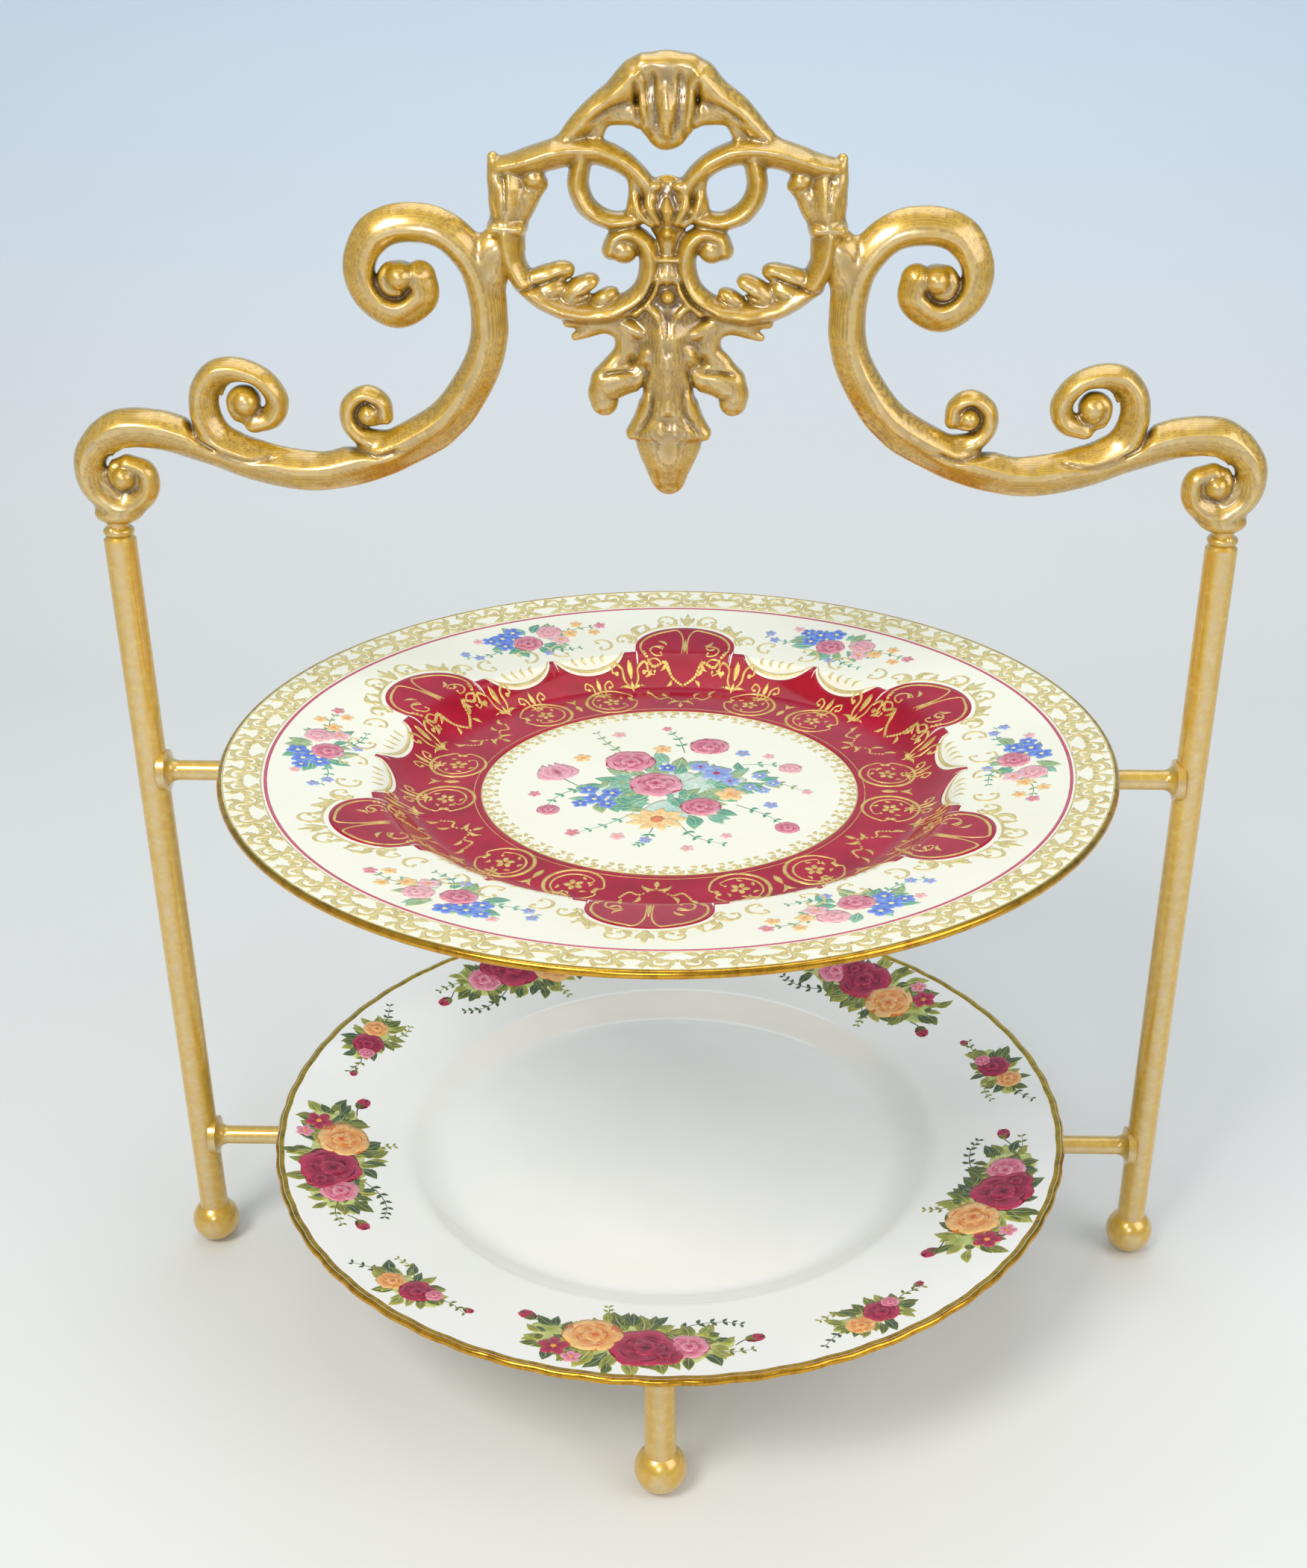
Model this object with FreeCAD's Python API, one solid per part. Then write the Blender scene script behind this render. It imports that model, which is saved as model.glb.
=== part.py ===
import FreeCAD, Part
import math
import os

# Tiered cake stand: a rod frame on ball feet, a cast scroll handle, and two loose plates that each
# hang in a ring. Millimetres, +Z up. The origin is on the table, midway between the four ball feet.
# The handle lies in the plane y = 0, and everything is mirrored left to right about x = 0.

# ---------------------------------------------------------------- driving dimensions
POST_X = 162.5              # from the middle to each post
POST_RADIUS = 4.75
POST_BORE = 3.15            # bore of the tube post, filled at its top by the neck pin
POST_TOP = 261.0
POST_CHAMFER = 1.3
LEG_Y = 116.5               # from the middle to the short front and rear legs
LEG_TOP = 47.6
ROD_RADIUS = 3.175          # rings and the short rods that hold them

BALL_RADIUS = 8.0
BALL_FLAT = 2.0             # radius of the small worn flat that each ball stands on
SOCKET_FLOOR = 6.0          # height of the bottom of the socket in each ball

UPPER_ROD_Z = 184.0
LOWER_ROD_Z = 44.0
UPPER_RING_RADIUS = 106.5
LOWER_RING_RADIUS = 101.5

PIN_RADIUS = 3.15
PIN_BOTTOM = 247.0
PIN_TOP = 270.0             # trimmed where it meets the arm

BEAD_AT_POST = 3.4          # how far a weld fillet spreads along and out from its rod
BEAD_AT_RING = 1.8
BEAD_OVER_ROD = 0.25        # how far the fillets under the plates may rise over their rods

CASTING_DEPTH = 0.9         # front-to-back depth of a scroll bar, as a share of its width
END_ROUNDING = 0.96         # size of the lump that rounds a bar's end, as a share of the bar's
SECTIONS_PER_SPAN = 3       # sections of a bar between two of its points
END_EYE = (160.0, 280.0)    # centres of the scroll volutes, as (x, z)
CROOK_EYE = (71.5, 335.0)
LEAF_EYE = (88.5, 299.5)
BRANCH_EYE = (120.5, 301.0)

PLATE_FOOT_RADIUS = 61.0
PLATE_FOOT_WIDTH = 4.0
PLATE_FOOT_HEIGHT = 2.5
PLATE_FLOOR_THICKNESS = 4.0
PLATE_RIM_THICKNESS = 3.1
PLATE_LIP_THICKNESS = 2.4
PLATE_SHOULDER_RADIUS = 90.0

UPPER_PLATE_RADIUS = 137.5
UPPER_PLATE_LIP_Z = 195.0
UPPER_PLATE_SHOULDER_Z = 188.35
UPPER_PLATE_FLOOR_Z = 180.0

LOWER_PLATE_RADIUS = 133.5
LOWER_PLATE_LIP_Z = 57.4
LOWER_PLATE_SHOULDER_Z = 48.65
LOWER_PLATE_FLOOR_Z = 42.4


# ---------------------------------------------------------------- helpers
def vec(x, y, z):
    return FreeCAD.Vector(x, y, z)


def mirrored(shape):
    """The same shape on the other side of the plane x = 0."""
    return shape.mirror(vec(0, 0, 0), vec(1, 0, 0))


def biggest(shape):
    """The largest solid of a shape, without slivers that a cut leaves."""
    return max(shape.Solids, key=lambda solid: solid.Volume)


def joined(shapes):
    """One fused solid."""
    fused = shapes[0].multiFuse(shapes[1:])
    assert len(fused.Solids) == 1, "a casting fell into %d pieces" % len(fused.Solids)
    return fused


def rod(start, end, radius):
    """A straight round rod between two points."""
    along = end - start
    return Part.makeCylinder(radius, along.Length, start, along)


def volute(eye, start_radius, end_radius, start_angle, end_angle, count, easing=1.0):
    """Points on a spiral about an eye. Angles are in degrees, from +X towards +Z."""
    points = []
    for step in range(count + 1):
        share = step / count
        radius = start_radius + (end_radius - start_radius) * share ** easing
        angle = math.radians(start_angle + (end_angle - start_angle) * share)
        points.append((eye[0] + radius * math.cos(angle), eye[1] + radius * math.sin(angle)))
    return points


def eased(values, share):
    """The value at a share of the way along a list of evenly spaced values."""
    place = share * (len(values) - 1)
    index = min(int(place), len(values) - 2)
    return values[index] + (values[index + 1] - values[index]) * (place - index)


def boss(x, z, half_width, half_height, half_depth):
    """A rounded lump of the casting. Its seam faces forward, clear of the seams of the bars."""
    ball = Part.makeSphere(1.0)
    ball.rotate(vec(0, 0, 0), vec(0, 0, 1), 90)
    matrix = FreeCAD.Matrix()
    matrix.scale(vec(half_width, half_depth, half_height))
    lump = ball.transformGeometry(matrix)
    lump.translate(vec(x, 0, z))
    return lump


def bar(points, radii, depth=CASTING_DEPTH):
    """A cast bar along a smooth line through (x, z) points, with round ends.

    Its half width runs through radii, evenly spaced along it, and depth is its front-to-back
    depth as a share of its width.
    """
    line = Part.BSplineCurve()
    line.interpolate([vec(x, 0, z) for x, z in points])
    count = SECTIONS_PER_SPAN * (len(points) - 1)
    length = line.length()
    wires = []
    for step in range(count + 1):
        place = line.parameterAtDistance(length * step / count, line.FirstParameter)
        centre = line.value(place)
        radius = eased(radii, step / count)
        beside = centre + line.tangent(place)[0].cross(vec(0, 1, 0)) * radius
        front = centre + vec(0, radius * depth, 0)
        if depth <= 1:
            section = Part.Ellipse(beside, front, centre)
        else:
            section = Part.Ellipse(front, beside, centre)
        wires.append(Part.Wire(section.toShape()))
    pieces = [Part.makeLoft(wires, True, False)]
    for place, radius in ((line.FirstParameter, radii[0]), (line.LastParameter, radii[-1])):
        end = line.value(place)
        size = radius * END_ROUNDING
        pieces.append(boss(end.x, end.z, size, size, size * depth))
    return joined(pieces)


# ---------------------------------------------------------------- handle
def scroll_arm():
    """The right arm: an S-scroll with a crook, an end volute and two small volutes."""
    main_line = (
        volute(END_EYE, 5.0, 10.4, 110, 377, 5, 0.6)
        + [(166.0, 291.5), (153.0, 295.5), (140.0, 291.0), (126.0, 284.5), (110.0, 280.5), (95.0, 281.5)]
        + [(80.0, 287.5), (67.0, 297.0), (57.0, 310.0), (51.5, 324.0)]
        + volute(CROOK_EYE, 20.0, 6.0, 176, -170, 8, 1.35)
    )
    main = bar(main_line, [3.0, 4.4, 4.6, 4.6, 4.9, 5.4, 5.2, 5.0, 5.0, 5.0, 4.0, 3.4, 2.6])
    end_eye = boss(END_EYE[0], END_EYE[1], 4.2, 4.2, 4.6)
    crook_eye = boss(CROOK_EYE[0], CROOK_EYE[1], 5.5, 5.5, 5.0)

    leaf_line = [(77.0, 291.0), (84.0, 290.5)] + volute(LEAF_EYE, 7.3, 4.2, -35, 225, 6)
    leaf = bar(leaf_line, [1.8, 2.4, 2.6, 2.4, 2.3, 2.2])
    leaf_eye = boss(LEAF_EYE[0], LEAF_EYE[1], 3.2, 3.2, 4.4)

    branch_line = [(112.0, 282.5), (124.0, 287.0)] + volute(BRANCH_EYE, 12.6, 5.5, -30, 250, 7, 1.3)
    branch = bar(branch_line, [3.0, 4.2, 4.2, 3.4, 2.8, 2.4])
    branch_eye = boss(BRANCH_EYE[0], BRANCH_EYE[1], 4.0, 4.0, 4.2)
    return joined([main, end_eye, crook_eye, leaf, leaf_eye, branch, branch_eye])


def crest_half():
    """The right half of the pierced ornament in the middle of the handle."""
    lower_scroll = [(43.5, 347.0), (43.0, 340.0), (39.5, 333.5), (32.0, 328.0), (22.0, 326.0)]
    lower_scroll += [(12.0, 327.5), (6.5, 332.5), (4.8, 340.0), (7.0, 346.5), (12.5, 348.0), (14.5, 343.5)]
    upper_scroll = [(43.0, 364.0), (31.0, 368.0), (21.0, 369.0), (12.0, 366.5), (6.0, 361.5), (3.5, 356.0)]
    loop = [(22.5, 366.0), (23.5, 358.5), (20.0, 352.7), (13.0, 350.8), (4.5, 353.5)]
    side_cup = [(43.5, 346.0), (43.5, 353.0), (43.5, 360.0), (45.0, 366.5)]
    spur = [(8.0, 324.5), (19.0, 323.5), (26.0, 320.5)]
    lobe = [(4.0, 309.2), (11.0, 309.0), (18.0, 307.0)]
    shoulder = [(15.0, 311.5), (12.0, 315.5), (9.0, 320.5), (5.5, 327.0)]
    crown_arch = [(26.5, 371.5), (21.5, 377.0), (14.0, 382.0), (8.0, 386.5), (3.0, 388.4)]
    return [
        bar(lower_scroll, [3.0, 2.8, 2.8, 2.8, 2.8, 2.6, 2.8], 1.2),
        boss(12.5, 344.0, 4.6, 4.6, 3.6),
        bar(upper_scroll, [3.6, 3.0, 2.8, 2.8, 2.6], 1.2),
        bar(loop, [2.8, 2.9, 2.6], 1.2),
        bar(side_cup, [4.8, 5.2, 5.0, 2.2], 0.9),
        boss(43.5, 349.5, 6.2, 2.2, 5.4),
        boss(31.5, 338.5, 6.0, 3.0, 3.0),
        boss(21.0, 334.5, 5.6, 4.4, 3.2),
        boss(14.5, 332.0, 3.6, 2.6, 2.8),
        boss(34.0, 333.5, 8.0, 3.6, 2.4),
        bar(spur, [3.4, 2.4, 1.3], 1.05),
        bar(lobe, [3.2, 3.4, 4.0], 1.05),
        boss(20.3, 303.2, 4.7, 5.4, 3.9),
        bar(shoulder, [2.2, 3.2, 3.8, 3.0], 1.1),
        bar(crown_arch, [2.4, 3.0, 3.6, 4.6, 5.0], 0.8),
    ]


def crest_centre():
    """The ornament: finial point, skirt, lobes, C-scrolls, palmette and crown."""
    point = bar([(0, 274.6), (0, 279.0), (0, 284.0), (0, 289.0)], [2.4, 5.2, 7.4, 8.6], 0.6)
    skirt = bar([(0, 288.0), (0, 291.5), (0, 295.0), (0, 301.0)], [6.0, 11.6, 9.6, 7.2], 0.5)
    body = bar([(0, 298.0), (0, 308.0), (0, 318.0), (0, 328.0), (0, 336.0)], [7.9, 7.5, 9.0, 8.5, 4.0], 0.55)
    stem = bar([(0, 331.0), (0, 341.0), (0, 352.0)], [3.6, 3.3, 4.0], 1.2)
    palmette = bar([(0, 350.0), (0, 355.0), (0, 360.0)], [5.4, 8.0, 5.0], 0.6)
    shell = boss(0, 381.5, 9.6, 9.8, 4.6)
    cap = boss(0, 389.4, 9.2, 4.6, 4.8)
    half = crest_half()
    other_half = [mirrored(piece) for piece in half]
    return joined([point, skirt, body, stem, palmette, shell, cap] + half + other_half)


# ---------------------------------------------------------------- frame
def post():
    """The right post: a tube with a chamfered top."""
    bottom = vec(POST_X, 0, SOCKET_FLOOR)
    outer = Part.makeCylinder(POST_RADIUS, POST_TOP - POST_CHAMFER - SOCKET_FLOOR, bottom)
    nose = Part.makeCone(
        POST_RADIUS, POST_RADIUS - POST_CHAMFER, POST_CHAMFER, vec(POST_X, 0, POST_TOP - POST_CHAMFER)
    )
    bore = Part.makeCylinder(POST_BORE, POST_TOP, bottom)
    return outer.fuse(nose).removeSplitter().cut(bore)


def neck_pin(arm):
    """The pin that joins the right arm's end volute to its post."""
    pin = rod(vec(POST_X, 0, PIN_BOTTOM), vec(POST_X, 0, PIN_TOP), PIN_RADIUS)
    return biggest(pin.cut(arm))


def leg(side):
    """A short solid leg; side is -1 at the front and +1 at the rear."""
    foot = vec(0, side * LEG_Y, SOCKET_FLOOR)
    body = Part.makeCylinder(POST_RADIUS, LEG_TOP - SOCKET_FLOOR, foot)
    top_edges = [edge for edge in body.Edges if abs(edge.CenterOfMass.z - LEG_TOP) < 0.01]
    return body.makeFillet(1.2, top_edges)


def foot_ball(x, y):
    """A ball foot with a socket for its leg and a small flat underneath."""
    centre_height = math.sqrt(BALL_RADIUS ** 2 - BALL_FLAT ** 2)
    ball = Part.makeSphere(BALL_RADIUS, vec(x, y, centre_height))
    below = Part.makeBox(4 * BALL_RADIUS, 4 * BALL_RADIUS, 4 * BALL_RADIUS)
    below.translate(vec(x - 2 * BALL_RADIUS, y - 2 * BALL_RADIUS, -4 * BALL_RADIUS))
    socket = Part.makeCylinder(POST_RADIUS, 4 * BALL_RADIUS, vec(x, y, SOCKET_FLOOR))
    return biggest(ball.cut(below).cut(socket))


def ring(radius, height):
    """A closed ring of round rod."""
    return Part.makeTorus(radius, ROD_RADIUS, vec(0, 0, height))


def stub(direction, ring_radius, height, reach, holder, hoop):
    """A short rod from a ring out to a post or leg, coped to fit both."""
    start = direction * ring_radius
    end = direction * reach
    start.z = height
    end.z = height
    return biggest(rod(start, end, ROD_RADIUS).cut(holder).cut(hoop))


def bead(foot, direction, size):
    """A concave weld fillet around a rod, spreading towards its foot along the direction."""
    inner = ROD_RADIUS
    outer = ROD_RADIUS + size
    root = 2.5
    corner_arc = Part.Arc(
        vec(outer, 0, 0), vec(inner + 0.3 * size, 0, -0.3 * size), vec(inner, 0, -size)
    )
    outline = Part.Wire([
        Part.makeLine(vec(inner, 0, -size), vec(inner, 0, root)),
        Part.makeLine(vec(inner, 0, root), vec(outer, 0, root)),
        Part.makeLine(vec(outer, 0, root), vec(outer, 0, 0)),
        corner_arc.toShape(),
    ])
    ringed = Part.Face(outline).revolve(vec(0, 0, 0), vec(0, 0, 1), 360)
    ringed.Placement = FreeCAD.Placement(foot, FreeCAD.Rotation(vec(0, 0, 1), direction))
    return ringed


def below_rods(height):
    """All the space up to just over the tops of the rods at this height."""
    block = Part.makeBox(600, 600, 60)
    block.translate(vec(-300, -300, height + ROD_RADIUS + BEAD_OVER_ROD - 60))
    return block


def post_beads(post_solid, rods):
    """The fillets where the two tiers' rods meet the right post."""
    beads = []
    for height, rod_solid in rods:
        foot = vec(POST_X - POST_RADIUS - 0.3, 0, height)
        shape = bead(foot, vec(1, 0, 0), BEAD_AT_POST)
        beads.append(biggest(shape.cut(post_solid).cut(rod_solid)))
    return Part.makeCompound(beads)


def ring_beads(hoop, ring_radius, height, rods):
    """The fillets where rods meet a ring, kept below the tops of the rods."""
    beads = []
    for direction, rod_solid in rods:
        foot = direction * (ring_radius + ROD_RADIUS - 0.2)
        foot.z = height
        shape = bead(foot, direction * -1, BEAD_AT_RING)
        trimmed = shape.cut(hoop).cut(rod_solid).common(below_rods(height))
        beads.append(biggest(trimmed))
    return Part.makeCompound(beads)


def leg_beads(legs):
    """The fillets where the front and rear rods meet the short legs."""
    beads = []
    for side, leg_solid, rod_solid in legs:
        foot = vec(0, side * (LEG_Y - POST_RADIUS - 0.3), LOWER_ROD_Z)
        shape = bead(foot, vec(0, side, 0), BEAD_AT_RING)
        trimmed = shape.cut(leg_solid).cut(rod_solid).common(below_rods(LOWER_ROD_Z))
        beads.append(biggest(trimmed))
    return Part.makeCompound(beads)


def neck_beads(post_solid, pin, arm):
    """Small weld lumps around the right neck, between the post and the arm."""
    collar = Part.makeTorus(PIN_RADIUS + 0.2, 1.2, vec(POST_X, 0, POST_TOP + 1.1))
    lump = Part.makeSphere(1.5, vec(POST_X + 1.0, -PIN_RADIUS, POST_TOP + 1.6))
    return biggest(collar.fuse(lump).cut(post_solid).cut(pin).cut(arm))


# ---------------------------------------------------------------- plates
def plate(radius, lip_z, shoulder_z, floor_z):
    """A coupe plate with a broad rim, a shallow well and a foot ring."""
    well_radius = PLATE_SHOULDER_RADIUS - 13.0
    under_z = floor_z - PLATE_FLOOR_THICKNESS
    foot_z = under_z - PLATE_FOOT_HEIGHT
    foot_outer = PLATE_FOOT_RADIUS + PLATE_FOOT_WIDTH / 2
    foot_inner = PLATE_FOOT_RADIUS - PLATE_FOOT_WIDTH / 2
    draft = 0.6
    lip_inset = 1.1
    lip_mid = lip_z - PLATE_LIP_THICKNESS / 2
    lip_under = lip_z - PLATE_LIP_THICKNESS
    under_shoulder = PLATE_SHOULDER_RADIUS + 2.0
    under_shoulder_z = shoulder_z - PLATE_RIM_THICKNESS - 0.2
    well_mid = vec(PLATE_SHOULDER_RADIUS - 4.6, 0, floor_z + 0.36 * (shoulder_z - floor_z))
    under_mid = vec(under_shoulder - 4.4, 0, under_z + 0.36 * (under_shoulder_z - under_z))
    shoulder = vec(PLATE_SHOULDER_RADIUS, 0, shoulder_z)
    lip_top = vec(radius - lip_inset, 0, lip_z)
    lip_bottom = vec(radius - lip_inset, 0, lip_under)
    under_rim = vec(under_shoulder, 0, under_shoulder_z)
    under_well = vec(well_radius + 1.0, 0, under_z)
    corners = [
        under_well,
        vec(foot_outer + draft, 0, under_z),
        vec(foot_outer, 0, foot_z),
        vec(foot_inner, 0, foot_z),
        vec(foot_inner - draft, 0, under_z),
        vec(0, 0, under_z),
        vec(0, 0, floor_z),
        vec(well_radius, 0, floor_z),
    ]
    edges = [Part.makeLine(a, b) for a, b in zip(corners, corners[1:])]
    edges.append(Part.Arc(corners[-1], well_mid, shoulder).toShape())
    edges.append(Part.makeLine(shoulder, lip_top))
    edges.append(Part.Arc(lip_top, vec(radius, 0, lip_mid), lip_bottom).toShape())
    edges.append(Part.makeLine(lip_bottom, under_rim))
    edges.append(Part.Arc(under_rim, under_mid, under_well).toShape())
    return Part.Face(Part.Wire(edges)).revolve(vec(0, 0, 0), vec(0, 0, 1), 360)


# ---------------------------------------------------------------- assembly
def build():
    """Every sub-part by node name."""
    right = vec(1, 0, 0)
    front = vec(0, -1, 0)
    rear = vec(0, 1, 0)
    nodes = {}

    arm = scroll_arm()
    crest = crest_centre()
    arms_both = [arm, mirrored(arm)]
    nodes["crest_centre"] = biggest(crest.cut(arms_both))
    post_solid = post()
    pin = neck_pin(arm)
    upper_hoop = ring(UPPER_RING_RADIUS, UPPER_ROD_Z)
    lower_hoop = ring(LOWER_RING_RADIUS, LOWER_ROD_Z)
    upper_stub = stub(right, UPPER_RING_RADIUS, UPPER_ROD_Z, POST_X, post_solid, upper_hoop)
    lower_stub = stub(right, LOWER_RING_RADIUS, LOWER_ROD_Z, POST_X, post_solid, lower_hoop)
    side_pieces = {
        "scroll_arm": arm,
        "neck_pin": pin,
        "post": post_solid,
        "stub_upper": upper_stub,
        "stub_lower": lower_stub,
        "foot_ball": foot_ball(POST_X, 0),
        "weld_post": post_beads(post_solid, [(UPPER_ROD_Z, upper_stub), (LOWER_ROD_Z, lower_stub)]),
        "weld_neck": neck_beads(post_solid, pin, arm),
        "weld_handle": biggest(boss(47.8, 341.0, 5.0, 8.5, 4.6).cut(arm).cut(nodes["crest_centre"])),
    }
    for name, shape in side_pieces.items():
        nodes[name + "_right"] = shape
        nodes[name + "_left"] = mirrored(shape)

    nodes["ring_upper"] = upper_hoop
    nodes["ring_lower"] = lower_hoop
    legs = []
    for name, direction in (("front", front), ("rear", rear)):
        leg_solid = leg(direction.y)
        rod_solid = stub(direction, LOWER_RING_RADIUS, LOWER_ROD_Z, LEG_Y, leg_solid, lower_hoop)
        nodes["leg_" + name] = leg_solid
        nodes["stub_lower_" + name] = rod_solid
        nodes["foot_ball_" + name] = foot_ball(0, direction.y * LEG_Y)
        legs.append((direction.y, leg_solid, rod_solid))
    nodes["weld_legs"] = leg_beads(legs)

    upper_rods = [(right, upper_stub), (right * -1, nodes["stub_upper_left"])]
    lower_rods = [(right, lower_stub), (right * -1, nodes["stub_lower_left"])]
    lower_rods += [(front, nodes["stub_lower_front"]), (rear, nodes["stub_lower_rear"])]
    nodes["weld_ring_upper"] = ring_beads(upper_hoop, UPPER_RING_RADIUS, UPPER_ROD_Z, upper_rods)
    nodes["weld_ring_lower"] = ring_beads(lower_hoop, LOWER_RING_RADIUS, LOWER_ROD_Z, lower_rods)

    nodes["plate_upper"] = plate(
        UPPER_PLATE_RADIUS, UPPER_PLATE_LIP_Z, UPPER_PLATE_SHOULDER_Z, UPPER_PLATE_FLOOR_Z
    )
    nodes["plate_lower"] = plate(
        LOWER_PLATE_RADIUS, LOWER_PLATE_LIP_Z, LOWER_PLATE_SHOULDER_Z, LOWER_PLATE_FLOOR_Z
    )
    return nodes


os.makedirs("parts", exist_ok=True)
for node, shape in build().items():
    assert shape.isValid(), node
    shape.exportStep(os.path.join("parts", node + ".step"))
    print("%-22s %2d solid(s) %10.1f mm3" % (node, len(shape.Solids), shape.Volume))
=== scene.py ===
import math
import random

import bpy
import numpy as np
from mathutils import Matrix, Vector


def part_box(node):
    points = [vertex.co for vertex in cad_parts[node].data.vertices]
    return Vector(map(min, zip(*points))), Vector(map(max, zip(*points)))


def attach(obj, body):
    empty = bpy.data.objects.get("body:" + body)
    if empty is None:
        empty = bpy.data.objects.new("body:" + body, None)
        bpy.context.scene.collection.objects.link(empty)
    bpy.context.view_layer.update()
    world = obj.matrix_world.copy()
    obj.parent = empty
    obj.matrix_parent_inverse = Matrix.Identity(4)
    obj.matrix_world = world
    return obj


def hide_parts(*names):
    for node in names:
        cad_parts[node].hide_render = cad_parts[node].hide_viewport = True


# Looks of the tiered cake stand: the cast handle is modelled in relief, the plates are turned, and
# their decoration is thin raised paint. Shapes are worked out in millimetres and made in metres.
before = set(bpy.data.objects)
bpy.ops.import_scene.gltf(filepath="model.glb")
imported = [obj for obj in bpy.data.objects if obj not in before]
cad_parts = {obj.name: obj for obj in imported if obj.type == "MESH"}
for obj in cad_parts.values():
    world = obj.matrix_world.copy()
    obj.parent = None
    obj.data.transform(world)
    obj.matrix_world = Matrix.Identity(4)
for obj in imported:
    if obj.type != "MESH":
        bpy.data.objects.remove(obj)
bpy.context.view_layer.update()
MM = 0.001
rng = random.Random(7)


def box_mm(node):
    """The lowest and highest corners of a CAD node in millimetres."""
    low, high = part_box(node)
    return [value / MM for value in low], [value / MM for value in high]


# ---------------------------------------------------------------- camera
CAMERA_PLACE = Vector((0.0166, -0.5472, 0.44356))
CAMERA_PITCH = 0.48724          # radians below level
CAMERA_YAW = -0.01311
CAMERA_ROLL = 0.00444
CAMERA_LENS = 44.35
CAMERA_SHIFT = (-0.0293, 0.0491)


def make_camera():
    """The camera, looking down at the stand from the front."""
    ahead = Vector((
        math.sin(CAMERA_YAW) * math.cos(CAMERA_PITCH),
        math.cos(CAMERA_YAW) * math.cos(CAMERA_PITCH),
        -math.sin(CAMERA_PITCH),
    ))
    side = Vector((math.cos(CAMERA_YAW), -math.sin(CAMERA_YAW), 0))
    top = side.cross(ahead)
    right = side * math.cos(CAMERA_ROLL) + top * math.sin(CAMERA_ROLL)
    up = top * math.cos(CAMERA_ROLL) - side * math.sin(CAMERA_ROLL)
    data = bpy.data.cameras.new("camera")
    data.sensor_width = 36
    data.lens = CAMERA_LENS
    data.shift_x, data.shift_y = CAMERA_SHIFT
    data.clip_start = 0.01
    camera = bpy.data.objects.new("camera", data)
    rotation = Matrix((right, up, -ahead)).transposed().to_4x4()
    camera.matrix_world = Matrix.Translation(CAMERA_PLACE) @ rotation
    bpy.context.scene.collection.objects.link(camera)
    bpy.context.scene.camera = camera


# ---------------------------------------------------------------- colours and materials
def linear(red, green, blue):
    """A display colour, 0 to 255 in each channel, as a linear one."""
    values = []
    for value in (red, green, blue):
        share = value / 255
        values.append(share / 12.92 if share <= 0.04045 else ((share + 0.055) / 1.055) ** 2.4)
    return tuple(values)


def blend_colours(first, second, share):
    return tuple(a + (b - a) * share for a, b in zip(first, second))


class Shader:
    """A material being wired up node by node."""

    def __init__(self, name):
        self.material = bpy.data.materials.new(name)
        self.material.use_nodes = True
        self.tree = self.material.node_tree
        self.body = self.tree.nodes["Principled BSDF"]

    def node(self, kind, **settings):
        made = self.tree.nodes.new(kind)
        for name, value in settings.items():
            setattr(made, name, value)
        return made

    def join(self, output, target):
        self.tree.links.new(output, target)

    def constant(self, **values):
        names = {
            "metallic": "Metallic", "roughness": "Roughness", "coat": "Coat Weight",
            "coat_roughness": "Coat Roughness", "ior": "IOR", "specular": "Specular IOR Level",
            "coat_ior": "Coat IOR",
        }
        for key, value in values.items():
            self.body.inputs[names[key]].default_value = value

    def noise(self, scale, detail=3.0, roughness=0.55):
        """A noise output in object space. Scale is cells per metre."""
        place = self.node("ShaderNodeTexCoord")
        texture = self.node("ShaderNodeTexNoise")
        texture.inputs["Scale"].default_value = scale
        texture.inputs["Detail"].default_value = detail
        texture.inputs["Roughness"].default_value = roughness
        self.join(place.outputs["Object"], texture.inputs["Vector"])
        return texture.outputs["Fac"]

    def ramp(self, source, stops):
        """A colour ramp fed by source, with (place, colour) stops."""
        made = self.node("ShaderNodeValToRGB")
        elements = made.color_ramp.elements
        while len(elements) < len(stops):
            elements.new(0.5)
        for element, (place, colour) in zip(elements, stops):
            element.position = place
            element.color = (*colour, 1)
        self.join(source, made.inputs["Fac"])
        return made.outputs["Color"]

    def mix(self, kind, share, first, second):
        """Two colours mixed. Each of share, first and second is an output or a constant."""
        made = self.node("ShaderNodeMix", data_type="RGBA", blend_type=kind)
        for value, target in ((share, made.inputs[0]), (first, made.inputs[6]), (second, made.inputs[7])):
            if hasattr(value, "links"):
                self.join(value, target)
            elif isinstance(value, tuple):
                target.default_value = (*value, 1)
            else:
                target.default_value = value
        return made.outputs[2]

    def range(self, source, low, high, low_to, high_to):
        made = self.node("ShaderNodeMapRange")
        for name, value in (("From Min", low), ("From Max", high), ("To Min", low_to), ("To Max", high_to)):
            made.inputs[name].default_value = value
        self.join(source, made.inputs["Value"])
        return made.outputs["Result"]

    def bump(self, source, strength, distance):
        made = self.node("ShaderNodeBump")
        made.inputs["Strength"].default_value = strength
        made.inputs["Distance"].default_value = distance
        self.join(source, made.inputs["Height"])
        self.join(made.outputs["Normal"], self.body.inputs["Normal"])

    def attribute(self, name):
        return self.node("ShaderNodeAttribute", attribute_name=name)


GOLD_DEEP = linear(104, 72, 8)
GOLD_BODY = linear(212, 166, 30)
GOLD_PALE = linear(228, 200, 92)
# The pale silver tint of the painted highlight on the gold paint.
GOLD_PAINTED_HIGHLIGHT = linear(212, 216, 204)


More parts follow.
